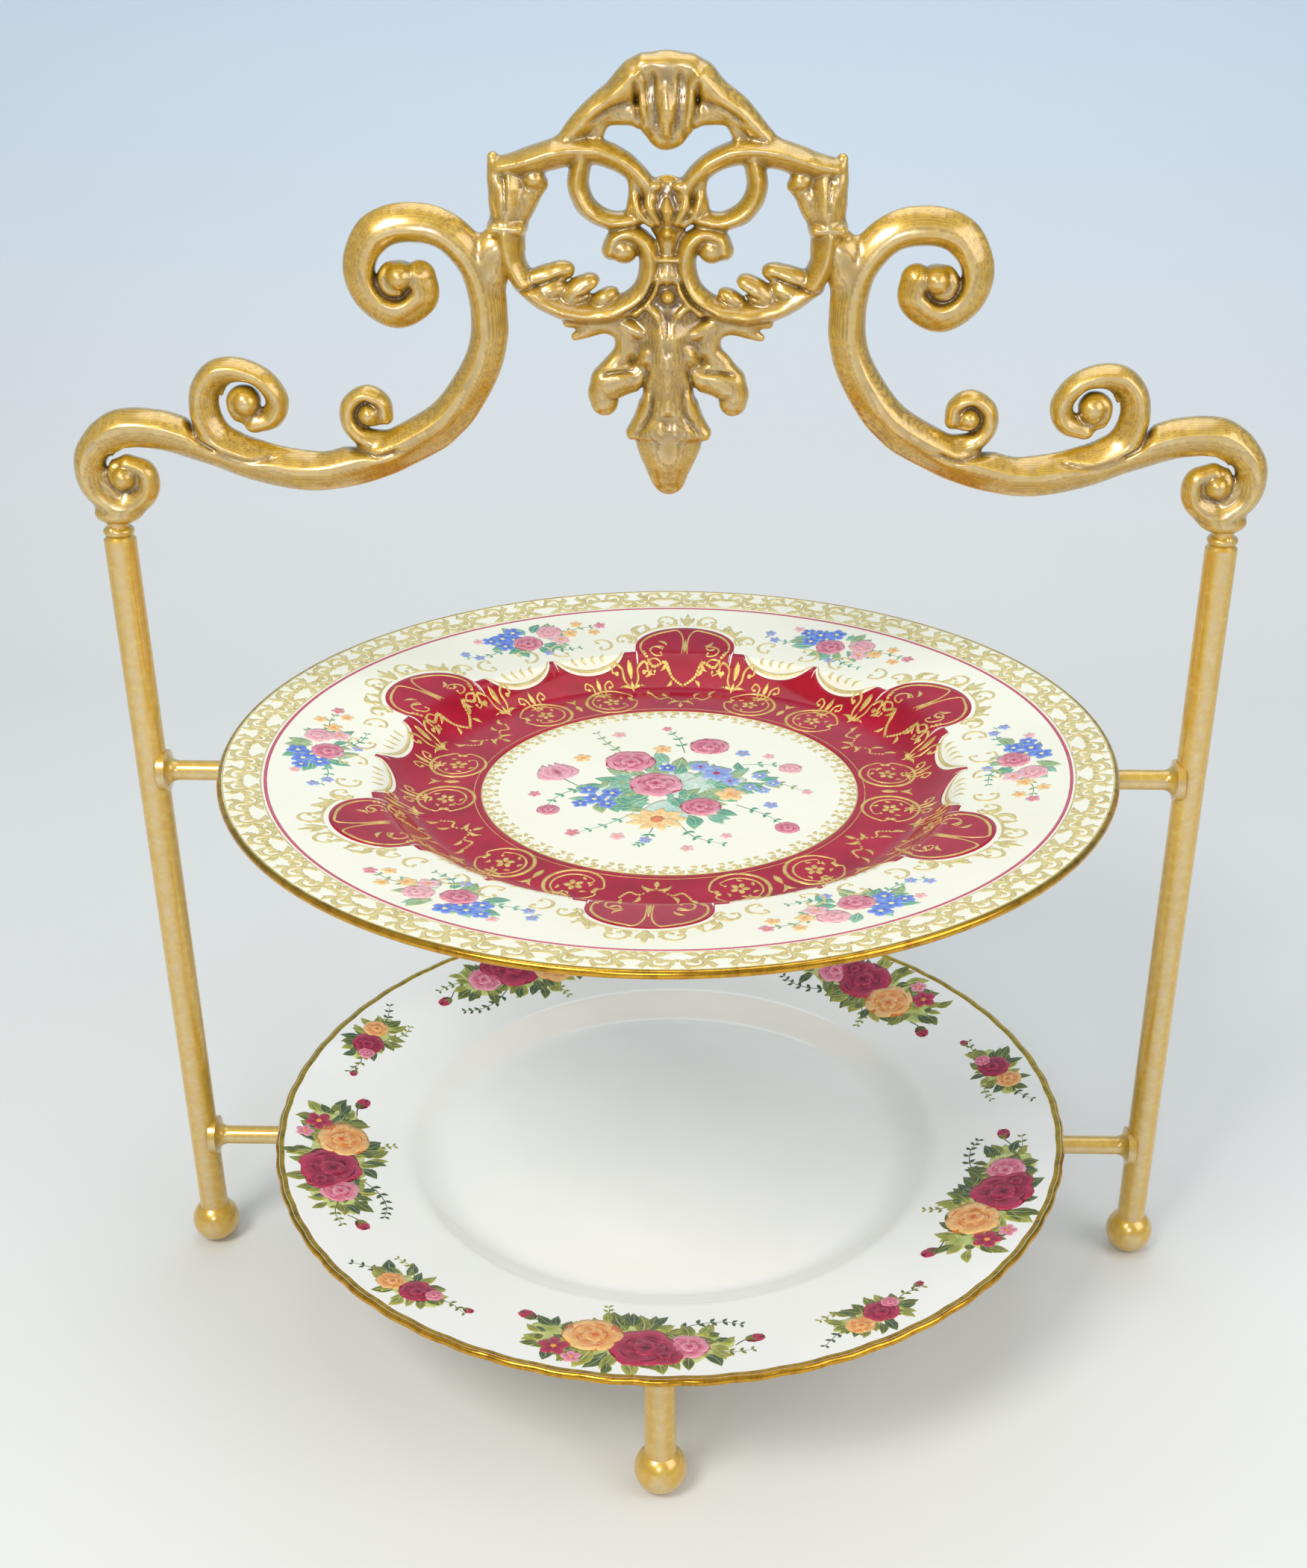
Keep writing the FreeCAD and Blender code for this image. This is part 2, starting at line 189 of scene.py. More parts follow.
def gold_paint(name, has_recess_shade, tone=1.0):
    """Satin gold paint on metal: mottled and a little pitted, with a painted pale silver highlight on faces
    turned to the front and back, and painted shade darkening it towards deep gold in the recesses."""
    shader = Shader(name)
    deep, body, pale = [tuple(c * tone for c in colour) for colour in (GOLD_DEEP, GOLD_BODY, GOLD_PALE)]
    mottle = shader.ramp(
        shader.noise(420, 5, 0.6), [(0.3, blend_colours(deep, body, 0.78)), (0.5, body), (0.72, pale)]
    )
    colour = shader.mix("MIX", 0.5, body, mottle)
    # Painted highlight: faces turned to the front or back are tinted pale silver, in place of a reflection of
    # the pale surroundings.
    facing = shader.node("ShaderNodeSeparateXYZ")
    shader.join(shader.node("ShaderNodeTexCoord").outputs["Normal"], facing.inputs["Vector"])
    flat = shader.node("ShaderNodeMath", operation="ABSOLUTE")
    shader.join(facing.outputs["Y"], flat.inputs[0])
    painted_highlight_share = shader.range(flat.outputs["Value"], 0.86, 1.0, 0.0, 0.36)
    patchy = shader.node("ShaderNodeMath", operation="MULTIPLY")
    shader.join(painted_highlight_share, patchy.inputs[0])
    shader.join(shader.range(shader.noise(240, 4), 0.35, 0.65, 0.5, 1.0), patchy.inputs[1])
    colour = shader.mix("MIX", patchy.outputs["Value"], colour, GOLD_PAINTED_HIGHLIGHT)
    # Painted shade: crevices of the casting are darkened towards deep gold, standing in for the shade that
    # falls there.
    if has_recess_shade:
        recess = shader.attribute("recess").outputs["Fac"]
        share = shader.range(recess, 0.3, 0.85, 0.0, 0.95)
        colour = shader.mix("MIX", share, colour, deep)
    shader.join(colour, shader.body.inputs["Base Color"])
    rough = shader.range(shader.noise(380, 3), 0.3, 0.7, 0.3, 0.42)
    shader.join(rough, shader.body.inputs["Roughness"])
    shader.constant(metallic=0.45, coat=1.0, coat_roughness=0.17, coat_ior=1.85)
    shader.bump(shader.noise(700, 5, 0.6), 0.35, 0.00012)
    return shader.material


def glaze(name, body, shade):
    """Glossy glaze over porcelain, faintly uneven in tone and level."""
    shader = Shader(name)
    colour = shader.ramp(shader.noise(22, 3), [(0.3, body), (0.75, shade)])
    shader.join(colour, shader.body.inputs["Base Color"])
    rough = shader.range(shader.noise(60, 2), 0.3, 0.7, 0.06, 0.12)
    shader.join(rough, shader.body.inputs["Roughness"])
    shader.constant(coat=0.25, coat_roughness=0.04, ior=1.45)
    shader.bump(shader.noise(16, 1), 0.12, 0.0006)
    return shader.material


def painted_enamel(name):
    """Overglaze paint whose colour is in the piece, with brush-like variation under a soft gloss."""
    shader = Shader(name)
    colour = shader.attribute("paint").outputs["Color"]
    grain = shader.range(shader.noise(900, 4, 0.6), 0.25, 0.75, 0.72, 1.2)
    light = shader.node("ShaderNodeVectorMath", operation="SCALE")
    shader.join(colour, light.inputs[0])
    shader.join(grain, light.inputs["Scale"])
    shader.join(light.outputs["Vector"], shader.body.inputs["Base Color"])
    shader.constant(roughness=0.22, coat=0.0, ior=1.4)
    shader.bump(shader.noise(1400, 3), 0.2, 0.00004)
    return shader.material


def burgundy_enamel(name):
    """Deep wine-red ground colour with a wet gloss."""
    shader = Shader(name)
    colour = shader.ramp(
        shader.noise(70, 4, 0.6),
        [(0.25, linear(146, 8, 28)), (0.55, linear(168, 12, 36)), (0.8, linear(184, 24, 48))],
    )
    shader.join(colour, shader.body.inputs["Base Color"])
    rough = shader.range(shader.noise(120, 2), 0.3, 0.7, 0.06, 0.13)
    shader.join(rough, shader.body.inputs["Roughness"])
    shader.constant(coat=0.0, ior=1.36)
    shader.bump(shader.noise(30, 2), 0.15, 0.0004)
    return shader.material


def gilding(name, body, deep, metallic, roughness):
    """Fired gilding: bright metal, thin enough to show small worn and darker places."""
    shader = Shader(name)
    colour = shader.ramp(shader.noise(260, 5, 0.65), [(0.28, deep), (0.55, body)])
    shader.join(colour, shader.body.inputs["Base Color"])
    rough = shader.range(shader.noise(400, 3), 0.3, 0.7, roughness * 0.7, roughness * 1.4)
    shader.join(rough, shader.body.inputs["Roughness"])
    shader.constant(metallic=metallic, coat=0.15, coat_roughness=0.1)
    shader.bump(shader.noise(900, 3), 0.15, 0.00004)
    return shader.material


# ---------------------------------------------------------------- mesh helpers
def piece_from(name, points_mm, faces, material, body):
    """A mesh piece from points in millimetres that rides on a CAD body."""
    mesh = bpy.data.meshes.new(name)
    mesh.from_pydata([tuple(c * MM for c in point) for point in points_mm], [], faces)
    mesh.validate()
    mesh.update()
    mesh.polygons.foreach_set("use_smooth", [True] * len(mesh.polygons))
    mesh.materials.append(material)
    piece = bpy.data.objects.new(name, mesh)
    bpy.context.scene.collection.objects.link(piece)
    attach(piece, body)
    return piece


def revolved_faces(steps, count):
    """Quads between neighbours in a closed ring of sections, each a line of count points."""
    faces = []
    for step in range(steps):
        here, there = step * count, (step + 1) % steps * count
        faces += [(here + i, here + i + 1, there + i + 1, there + i) for i in range(count - 1)]
    return faces


def circle(radius, count):
    """Points round the plate's centre, the last on the first."""
    return [(radius * math.cos(a), radius * math.sin(a)) for a in np.linspace(0, 2 * math.pi, count)]


def smooth_path(points, per_span=10):
    """A smooth line through points, as an array of many (x, y) points."""
    given = np.array(points, float)
    if len(given) == 2:
        return given[0] + np.linspace(0, 1, per_span + 1)[:, None] * (given[1] - given[0])
    padded = np.vstack([2 * given[0] - given[1], given, 2 * given[-1] - given[-2]])
    found = []
    steps = np.linspace(0, 1, per_span, endpoint=False)[:, None]
    for a, b, c, d in zip(padded, padded[1:], padded[2:], padded[3:]):
        curve = 2 * b + (c - a) * steps + (2 * a - 5 * b + 4 * c - d) * steps ** 2
        curve += (3 * b - a - 3 * c + d) * steps ** 3
        found.append(curve / 2)
    found.append(given[-1][None])
    return np.vstack(found)


def along(path, values):
    """Evenly spaced values spread along a path by its length, one for each of its points."""
    lengths = np.r_[0, np.cumsum(np.linalg.norm(np.diff(path, axis=0), axis=1))]
    return np.interp(lengths / lengths[-1], np.linspace(0, 1, len(values)), values)


# ---------------------------------------------------------------- cast handle, modelled in relief
class Clay:
    """A casting as a field on a grid, negative inside, that strokes and lumps melt into.

    Strokes run in the plane of the handle and are given as (x, z) points in millimetres.
    """

    OUTSIDE = 4.0           # what the empty field holds
    MARGIN = 3              # how far past its edge a shape still blends, in millimetres
    CREVICE = 1.6           # half the width over which a point's surroundings are averaged

    def __init__(self, x_range, z_range, half_depth, step, mirror=False):
        self.step = step
        self.mirror = mirror
        self.x = np.arange(x_range[0], x_range[1] + step, step)
        self.z = np.arange(z_range[0], z_range[1] + step, step)
        self.y = np.arange(-half_depth, half_depth + step, step)
        self.field = np.full((len(self.x), len(self.y), len(self.z)), self.OUTSIDE, np.float32)
        self.across = np.abs(self.x) if mirror else self.x

    def window(self, low, high):
        """The columns and rows of the grid between two (x, z) corners."""
        columns = np.flatnonzero((self.across > low[0]) & (self.across < high[0]))
        rows = np.flatnonzero((self.z > low[1]) & (self.z < high[1]))
        return columns, rows

    def nearest(self, path, columns, rows):
        """Distance to a path at each column and row, which side it is on, and how far along."""
        x, z = np.meshgrid(self.across[columns], self.z[rows], indexing="ij")
        best = np.full(x.shape, 1e9)
        side = np.ones(x.shape)
        place = np.zeros(x.shape)
        for index in range(len(path) - 1):
            start = path[index]
            step = path[index + 1] - start
            share = ((x - start[0]) * step[0] + (z - start[1]) * step[1]) / (step @ step)
            share = np.clip(share, 0, 1)
            gap_x = x - start[0] - share * step[0]
            gap_z = z - start[1] - share * step[1]
            gap = np.hypot(gap_x, gap_z)
            closer = gap < best
            best = np.where(closer, gap, best)
            side = np.where(closer, np.sign(step[0] * gap_z - step[1] * gap_x + 1e-9), side)
            place = np.where(closer, index + share, place)
        return best, side, place

    def melt(self, columns, rows, shape, softness):
        """Joins a shape into the field, filleting the corner between them."""
        region = np.ix_(columns, np.arange(len(self.y)), rows)
        old = self.field[region]
        blend = np.clip(softness - np.abs(old - shape), 0, None) / softness
        self.field[region] = np.minimum(old, shape) - blend ** 2 * softness / 4

    def stroke(self, points, radii, depth=0.85, ridge=0.0, ridge_at=0.0, softness=1.2):
        """A bar along a smooth line. A ridge along its face is raised by a share of its depth."""
        path = smooth_path(points)
        widths = along(path, radii)
        reach = max(radii) + self.MARGIN
        columns, rows = self.window(path.min(0) - reach, path.max(0) + reach)
        gap, side, place = self.nearest(path, columns, rows)
        radius = np.interp(place, np.arange(len(path)), widths)
        lean = side * gap / radius
        peak = 1 - np.abs(lean - ridge_at) / (1 + abs(ridge_at))
        half_depth = radius * depth * (1 - 0.35 * ridge + ridge * np.clip(peak, 0, 1))
        shape = (gap / radius)[:, None, :] ** 2 + (self.y[None, :, None] / half_depth[:, None, :]) ** 2
        self.melt(columns, rows, (np.sqrt(shape) - 1) * radius[:, None, :], softness)

    def lump(self, centre, sizes, softness=1.2, turn=0.0):
        """An ellipsoid of (half width, half depth, half height), turned by degrees in the plane."""
        reach = max(sizes) + self.MARGIN
        columns, rows = self.window(np.array(centre) - reach, np.array(centre) + reach)
        x, z = np.meshgrid(self.across[columns] - centre[0], self.z[rows] - centre[1], indexing="ij")
        angle = math.radians(turn)
        u = (x * math.cos(angle) + z * math.sin(angle)) / sizes[0]
        w = (z * math.cos(angle) - x * math.sin(angle)) / sizes[2]
        v = self.y / sizes[1]
        shape = np.sqrt((u ** 2 + w ** 2)[:, None, :] + (v ** 2)[None, :, None]) - 1
        self.melt(columns, rows, shape * min(sizes[0], sizes[2]), softness)

    def groove(self, points, width, depth):
        """A crease pressed into the surface along a line, tapering out at its ends."""
        path = smooth_path(points)
        reach = 4 * width
        columns, rows = self.window(path.min(0) - reach, path.max(0) + reach)
        gap, _, place = self.nearest(path, columns, rows)
        share = place / (len(path) - 1)
        taper = np.clip(np.minimum(share, 1 - share) * 5 + 0.25, 0, 1)
        press = depth * taper * np.exp(-(gap / width) ** 2)
        region = np.ix_(columns, np.arange(len(self.y)), rows)
        self.field[region] += press[:, None, :].astype(np.float32)

    def hand_work(self, size, amount, seed):
        """Small unevenness, as on a hand-finished casting."""
        source = np.random.default_rng(seed)
        span = size / self.step
        shape = [int(n / span) + 3 for n in self.field.shape]
        coarse = source.normal(0, amount, shape).astype(np.float32)
        for axis, count in enumerate(self.field.shape):
            place = np.arange(count) / span
            low = place.astype(int)
            part = place - low
            part = part * part * (3 - 2 * part)
            near = np.take(coarse, low, axis)
            far = np.take(coarse, low + 1, axis)
            part = part.reshape([-1 if n == axis else 1 for n in range(3)]).astype(np.float32)
            coarse = near + (far - near) * part
        self.field += coarse

    def recess(self, points):
        """0 on ridges to 1 in crevices, for points in millimetres: the mask of the painted shade in the gold's
        crevices.
        """
        soft = np.clip(self.field, -3, 3)
        reach = max(1, round(self.CREVICE / self.step))
        for axis in range(3):
            pad = [(reach + 1, reach) if n == axis else (0, 0) for n in range(3)]
            total = np.cumsum(np.pad(soft, pad, mode="edge"), axis=axis, dtype=np.float64)
            count = soft.shape[axis]
            far = np.take(total, np.arange(2 * reach + 1, 2 * reach + 1 + count), axis)
            near = np.take(total, np.arange(count), axis)
            soft = (far - near) / (2 * reach + 1)
        place = (points - np.array([self.x[0], self.y[0], self.z[0]])) / self.step
        index = np.clip(np.round(place).astype(int), 0, np.array(self.field.shape) - 1)
        return np.clip(0.5 - soft[tuple(index.T)] * 0.55, 0, 1)

    def skin(self):
        """Points and quads of the surface: one point in each cell that it crosses."""
        field = self.field
        cells = tuple(n - 1 for n in field.shape)
        total = [np.zeros(cells, np.float32) for _ in range(3)]
        count = np.zeros(cells, np.float32)
        for axis in range(3):
            first, second = [n for n in range(3) if n != axis]
            for a in (0, 1):
                for b in (0, 1):
                    start = [0, 0, 0]
                    start[first] = a
                    start[second] = b
                    end = list(start)
                    end[axis] = 1
                    here = field[tuple(slice(s, s + n) for s, n in zip(start, cells))]
                    there = field[tuple(slice(s, s + n) for s, n in zip(end, cells))]
                    crossed = (here < 0) != (there < 0)
                    share = np.where(crossed, here / np.where(crossed, here - there, 1), 0)
                    for n in range(3):
                        total[n] += share if n == axis else crossed * np.float32(start[n])
                    count += crossed
        active = count > 0
        index = np.full(cells, -1)
        index[active] = np.arange(active.sum())
        offset = np.stack([part[active] / count[active] for part in total], 1)
        origin = np.array([self.x[0], self.y[0], self.z[0]])
        points = origin + self.step * (np.argwhere(active) + offset)
        quads = []
        for axis in range(3):
            first, second = (axis + 1) % 3, (axis + 2) % 3
            here = field[tuple(slice(0, -1) if n == axis else slice(1, -1) for n in range(3))]
            there = field[tuple(slice(1, None) if n == axis else slice(1, -1) for n in range(3))]
            for sign in (1, -1):
                edge = np.argwhere((here < 0) & (there >= 0) if sign > 0 else (here >= 0) & (there < 0))
                edge[:, first] += 1
                edge[:, second] += 1
                corners = []
                for a, b in ((1, 1), (0, 1), (0, 0), (1, 0)):
                    cell = edge.copy()
                    cell[:, first] -= a
                    cell[:, second] -= b
                    corners.append(index[tuple(cell.T)])
                quads.append(np.stack(corners[::sign], 1))
        return points, np.vstack(quads)


def relaxed(points, quads, rounds):
    """Points eased towards their neighbours and back, which smooths without shrinking."""
    for strength in [0.5, -0.52] * rounds:
        total = np.zeros_like(points)
        count = np.zeros(len(points))
        for a, b in ((0, 1), (1, 2), (2, 3), (3, 0)):
            for start, end in ((a, b), (b, a)):
                np.add.at(total, quads[:, start], points[quads[:, end]])
                np.add.at(count, quads[:, start], 1)
        points = points + strength * (total / count[:, None] - points)
    return points


def settled(clay, points):
    """Points moved along the field's slope onto its surface, which removes the grid's terraces."""
    origin = np.array([clay.x[0], clay.y[0], clay.z[0]])
    slopes = np.gradient(clay.field, clay.step)
    top = np.array(clay.field.shape) - 2
    for _ in range(2):
        place = (points - origin) / clay.step
        cell = np.clip(place.astype(int), 0, top)
        part = place - cell
        value = np.zeros(len(points))
        slope = np.zeros_like(points)
        for corner in np.ndindex(2, 2, 2):
            share = np.prod(np.where(np.array(corner), part, 1 - part), axis=1)
            index = tuple((cell + corner).T)
            value += share * clay.field[index]
            for axis in range(3):
                slope[:, axis] += share * slopes[axis][index]
        move = np.clip(value / np.maximum((slope ** 2).sum(1), 0.1), -0.4, 0.4)
        points = points - slope * move[:, None]
    return points


def casting(name, clay, material, node, mirror=False):
    """The piece that shows in place of a cast CAD node."""
    points, quads = clay.skin()
    recess = clay.recess(points)
    points = relaxed(settled(clay, relaxed(points, quads, 3)), quads, 2)
    if mirror:
        points = points * np.array([-1, 1, 1])
        quads = quads[:, ::-1]
    piece = piece_from(name, points.tolist(), quads.tolist(), material, "stand")
    # The recess value carries the painted shade for the gold paint's crevices.
    values = piece.data.attributes.new("recess", "FLOAT", "POINT")
    values.data.foreach_set("value", recess.astype(np.float32))
    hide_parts(node)


def model_arm():
    """The right scroll arm: a ridged band with a crook, an end volute and two small volutes."""
    clay = Clay((39, 178), (261, 360), 8.3, 0.55)
    main_line = [(157.0, 281.8), (152.4, 279.4), (153.4, 273.6), (160.0, 270.6), (166.8, 275.0)]
    main_line += [(167.2, 284.0), (159.0, 291.8), (147.0, 292.4), (132.0, 287.6), (118.0, 282.6)]
    main_line += [(104.7, 280.4), (91.6, 282.2)]
    main_line += [(77.0, 287.8), (62.5, 297.0), (52.2, 312.7), (49.9, 327.0), (53.2, 339.8), (61.0, 348.2)]
    main_line += [(71.0, 350.3), (80.4, 347.4), (84.8, 339.0), (82.7, 331.0), (75.7, 326.5), (68.4, 330.4)]
    main_line += [(68.6, 336.0)]
    branch_line = [(98.0, 281.5), (110.0, 282.8), (121.0, 285.6), (129.1, 289.6), (132.6, 296.4)]
    branch_line += [(132.4, 303.4), (128.4, 308.4), (122.5, 309.3), (116.0, 306.8), (112.2, 301.6)]
    branch_line += [(113.8, 296.6), (118.8, 294.8)]
    leaf_line = [(72.0, 291.6), (79.0, 289.8), (86.0, 290.4), (90.6, 294.6), (90.4, 299.6), (86.4, 302.4)]
    leaf_line += [(82.2, 300.6), (81.4, 296.8)]

    main_radii = [3.2, 4.2, 4.9, 5.9, 5.7, 5.5, 5.6, 5.8, 6.0, 6.1, 5.7, 5.3, 5.2, 5.2, 5.3, 5.2, 5.0, 4.4]
    clay.stroke(main_line, main_radii, 0.8, 0.62, -0.35)
    branch_radii = [4.2, 4.6, 4.6, 4.9, 4.9, 4.6, 4.2, 4.0, 3.9, 3.8, 3.6, 3.2]
    clay.stroke(branch_line, branch_radii, 0.88, 0.65, -0.35, 0.8)
    clay.stroke(leaf_line, [1.8, 2.8, 3.3, 3.4, 3.3, 3.2, 3.2, 2.6], 1.0, 0.6, -0.3, 0.8)
    for centre, sizes, softness in (
        # the web and the boss in the eye of each volute
        ((76.6, 334.0), (6.8, 3.9, 6.2), 1.2), ((74.0, 336.0), (4.3, 6.0, 4.3), 0.7),
        ((160.2, 277.4), (6.6, 3.9, 6.4), 1.2), ((158.2, 278.6), (3.9, 5.8, 3.9), 0.7),
        ((121.6, 300.6), (6.4, 3.7, 6.2), 1.2), ((120.2, 300.9), (4.4, 5.6, 4.4), 0.7),
        ((86.2, 297.4), (5.0, 3.6, 4.8), 1.0), ((85.4, 297.6), (3.4, 5.0, 3.4), 0.6),
        # the seat on the neck pin, and the welds to the centre casting
        ((162.0, 267.6), (7.0, 4.8, 3.4), 1.5),
        ((48.8, 339.8), (5.6, 5.0, 8.6), 1.8), ((46.4, 343.6), (4.4, 4.8, 4.6), 1.6),
    ):
        clay.lump(centre, sizes, softness)

    crook = [(74.5, 342.4), (79.0, 340.4), (80.8, 335.4), (78.6, 331.0), (74.4, 330.2), (71.6, 332.8)]
    clay.groove(crook, 0.85, 1.7)
    clay.groove([(160.5, 286.4), (162.9, 282.6), (162.7, 277.6), (159.4, 274.4), (155.6, 275.4)], 0.8, 1.5)
    branch = [(125.6, 295.6), (126.6, 301.2), (123.4, 305.4), (118.6, 305.4), (115.9, 301.6), (117.4, 298.0)]
    clay.groove(branch, 0.85, 1.7)
    clay.groove([(81.6, 293.6), (87.0, 294.0), (89.2, 297.6), (86.6, 301.0), (83.2, 300.2)], 0.7, 1.3)
    clay.groove([(129.0, 287.2), (134.5, 290.4), (138.0, 295.4)], 0.8, 1.6)
    clay.groove([(112.0, 285.4), (121.0, 284.6), (130.0, 287.4)], 0.8, 0.9)
    clay.groove([(76.5, 288.6), (83.0, 286.6), (93.0, 288.0)], 0.8, 1.2)
    clay.hand_work(5.0, 0.1, 3)
    return clay


def model_crest():
    """The pierced ornament in the middle: finial, skirt, lobes, C-scrolls, palmette and crown."""
    clay = Clay((-54, 54), (268, 398), 8.5, 0.5, mirror=True)
    # finial point and skirt
    clay.lump((0, 287.6), (8.1, 6.0, 8.4), 1.2)
    clay.lump((0, 282.6), (5.8, 4.8, 8.0), 2.0)
    clay.stroke([(0, 291), (0, 292.5), (0, 296), (0, 301)], [9.6, 10.6, 9.2, 8.4], 0.62, softness=0.8)
    clay.stroke([(0, 293.4), (5.4, 292.8), (10.2, 292.4)], [2.8, 2.8, 1.9], 1.9, softness=0.8)
    clay.stroke([(4.2, 303.0), (6.6, 297.6), (10.4, 292.8)], [3.4, 3.2, 1.8], 1.5)
    # body between the lobes and the C-scrolls
    clay.stroke([(0, 300), (0, 307), (0, 314), (0, 320)], [8.2, 8.0, 9.4, 9.0], 0.6, 0.5, 0.0)
    clay.stroke([(0, 318), (0, 326), (0, 334), (0, 342)], [10.5, 9.5, 6.0, 3.4], 0.45)
    clay.lump((0, 309.5), (3.4, 6.8, 6.0), 0.8)
    clay.lump((5.4, 315.5), (3.2, 5.6, 4.6), 0.7, 35)
    clay.lump((0, 331.3), (2.3, 6.2, 2.3), 0.5)
    clay.stroke([(1.2, 322), (3.0, 326.5), (6.5, 329.5)], [1.6, 1.9, 1.6], 3.0, softness=0.6)
    clay.stroke([(3.0, 336.0), (4.5, 331.5), (9.0, 327.0)], [1.4, 1.6, 1.6], 3.2, softness=0.6)
    clay.stroke([(4.0, 321.0), (8.0, 321.5), (12.5, 323.5)], [2.4, 2.6, 2.2], 1.7, softness=0.8)
    # side lobes with their curled upper leaf
    clay.stroke([(4, 309.2), (9, 308.8), (14.5, 307.8), (18.2, 304.6), (18.2, 301.6)],
                [3.8, 4.2, 5.0, 4.9, 4.1], 1.0)
    clay.stroke([(11.5, 319.5), (12.8, 315.0), (15.6, 311.6), (18.6, 308.0)], [2.8, 3.0, 3.2, 3.4], 1.15)
    clay.stroke([(10.5, 317.0), (13.5, 321.3), (18.5, 322.8), (26.0, 319.8)], [3.0, 2.4, 2.2, 1.2], 1.2)
    clay.stroke([(14.0, 325.0), (22.0, 323.8), (28.0, 323.6)], [2.4, 2.4, 1.4], 1.2)
    # lower C-scrolls, ridged, each curling into a small volute
    scroll = [(43.8, 347.5), (42.6, 340.5), (38.6, 333.5), (31.5, 328.6), (22.0, 326.6), (13.0, 328.0)]
    scroll += [(7.0, 332.5), (4.9, 339.5), (6.2, 345.0), (10.0, 347.6), (14.0, 346.4), (15.3, 343.4)]
    clay.stroke(scroll, [3.8, 3.5, 3.3, 3.3, 3.3, 3.2, 3.0, 2.9, 2.8], 1.35, 0.55, 0.2, 0.7)
    clay.lump((12.2, 343.6), (4.0, 5.0, 3.8), 0.6)
    # acanthus leaves inside the C-scrolls
    clay.lump((34.4, 335.9), (8.6, 4.2, 3.5), 0.7, -19)
    clay.lump((29.4, 338.0), (3.4, 3.6, 2.4), 0.8, -8)
    clay.lump((33.2, 332.2), (5.6, 4.4, 2.9), 0.6, -16)
    clay.lump((25.2, 332.2), (6.2, 4.6, 3.4), 0.7, -38)
    clay.lump((21.6, 334.6), (2.9, 3.8, 2.5), 0.8, -20)
    clay.lump((17.8, 330.6), (4.4, 3.8, 2.5), 0.6, -30)
    # side clamps: collar, cup, corner spike and inner leaf
    clay.stroke([(43.4, 344.0), (43.6, 349.5)], [4.2, 4.8], 0.95)
    clay.stroke([(40.4, 349.4), (47.2, 349.4)], [2.3, 2.3], 2.7, softness=0.4)
    clay.stroke([(43.6, 351.5), (43.2, 356.5), (42.6, 361.5), (43.2, 364.5)],
                [4.9, 5.6, 5.0, 3.2], 0.95, 0.4, 0.0)
    clay.lump((43.0, 356.6), (5.6, 4.8, 5.2), 1.2)
    clay.stroke([(45.2, 358.0), (46.4, 363.0), (47.2, 367.4)], [3.4, 2.8, 1.5], 1.4, softness=0.8)
    clay.stroke([(42.6, 350.0), (40.2, 354.4), (37.6, 358.0), (34.2, 360.4)],
                [3.4, 4.0, 3.6, 2.0], 1.1, softness=0.9)
    clay.lump((36.2, 362.0), (3.4, 4.6, 3.0), 1.0)
    # upper scrolls and the loops under them
    upper = [(45.0, 364.6), (38.0, 366.0), (30.0, 368.4), (21.0, 369.2), (13.0, 366.8), (7.4, 362.4)]
    upper += [(4.2, 357.5)]
    clay.stroke(upper, [3.0, 3.9, 4.0, 3.6, 3.3, 3.0, 2.6], 1.2, 0.55, -0.25, 0.7)
    clay.stroke([(23.0, 367.5), (24.2, 360.5), (21.6, 354.4), (15.5, 351.2), (9.0, 351.8), (6.5, 354.0)],
                [2.8, 3.0, 3.0, 2.8, 2.7, 2.3], 1.35, 0.5, 0.1, 0.7)
    clay.stroke([(9.6, 364.2), (8.8, 359.0), (9.4, 354.0)], [1.8, 2.0, 2.2], 1.5, softness=0.7)
    # palmette, its bead and the knot below
    clay.stroke([(0, 351.5), (0, 355.0), (0, 357.8)], [5.4, 7.8, 5.4], 0.5)
    clay.stroke([(0, 351.0), (0, 354.5), (0, 358.0)], [1.6, 2.3, 1.2], 2.7, softness=0.4)
    clay.stroke([(2.6, 351.2), (4.6, 355.0), (5.0, 359.6)], [1.5, 1.9, 1.3], 3.1, softness=0.5)
    clay.stroke([(4.4, 350.6), (7.6, 353.4), (9.0, 358.0)], [1.4, 1.7, 1.2], 2.9, softness=0.5)
    clay.lump((3.2, 360.4), (2.4, 4.4, 1.9), 0.8)
    clay.lump((0, 348.4), (1.9, 6.0, 1.9), 0.4)
    clay.stroke([(0, 337.0), (0, 343.0), (0, 348.0)], [3.6, 2.4, 3.0], 1.2)
    clay.stroke([(-3.2, 341.2), (3.2, 341.2)], [1.2, 1.2], 3.6, softness=0.4)
    # crown: arched shoulders, a fluted shell and a flat cap
    clay.stroke([(27.5, 371.0), (24.0, 374.6), (19.0, 379.2), (13.0, 383.2), (8.5, 387.6)],
                [2.8, 3.4, 4.0, 4.4, 4.8], 1.0, 0.5, -0.2)
    clay.stroke([(19.5, 373.0), (16.5, 377.6), (9.0, 378.8), (3.0, 380.0)], [2.0, 2.4, 3.2, 3.6], 1.0)
    clay.stroke([(0, 375.5), (0, 381.0), (0, 387.0)], [6.2, 8.0, 7.0], 0.66)
    clay.stroke([(0, 375.8), (5.0, 376.0), (8.5, 377.8)], [3.0, 2.8, 2.0], 1.3)
    clay.stroke([(0, 390.4), (6.0, 390.2)], [3.7, 3.6], 1.25)
    clay.stroke([(0, 374.5), (0, 380.0), (0, 385.5)], [2.6, 3.4, 2.6], 1.9, softness=0.5)
    clay.stroke([(5.4, 376.2), (6.2, 381.0), (6.6, 386.5)], [1.4, 1.8, 1.6], 3.0, softness=0.6)
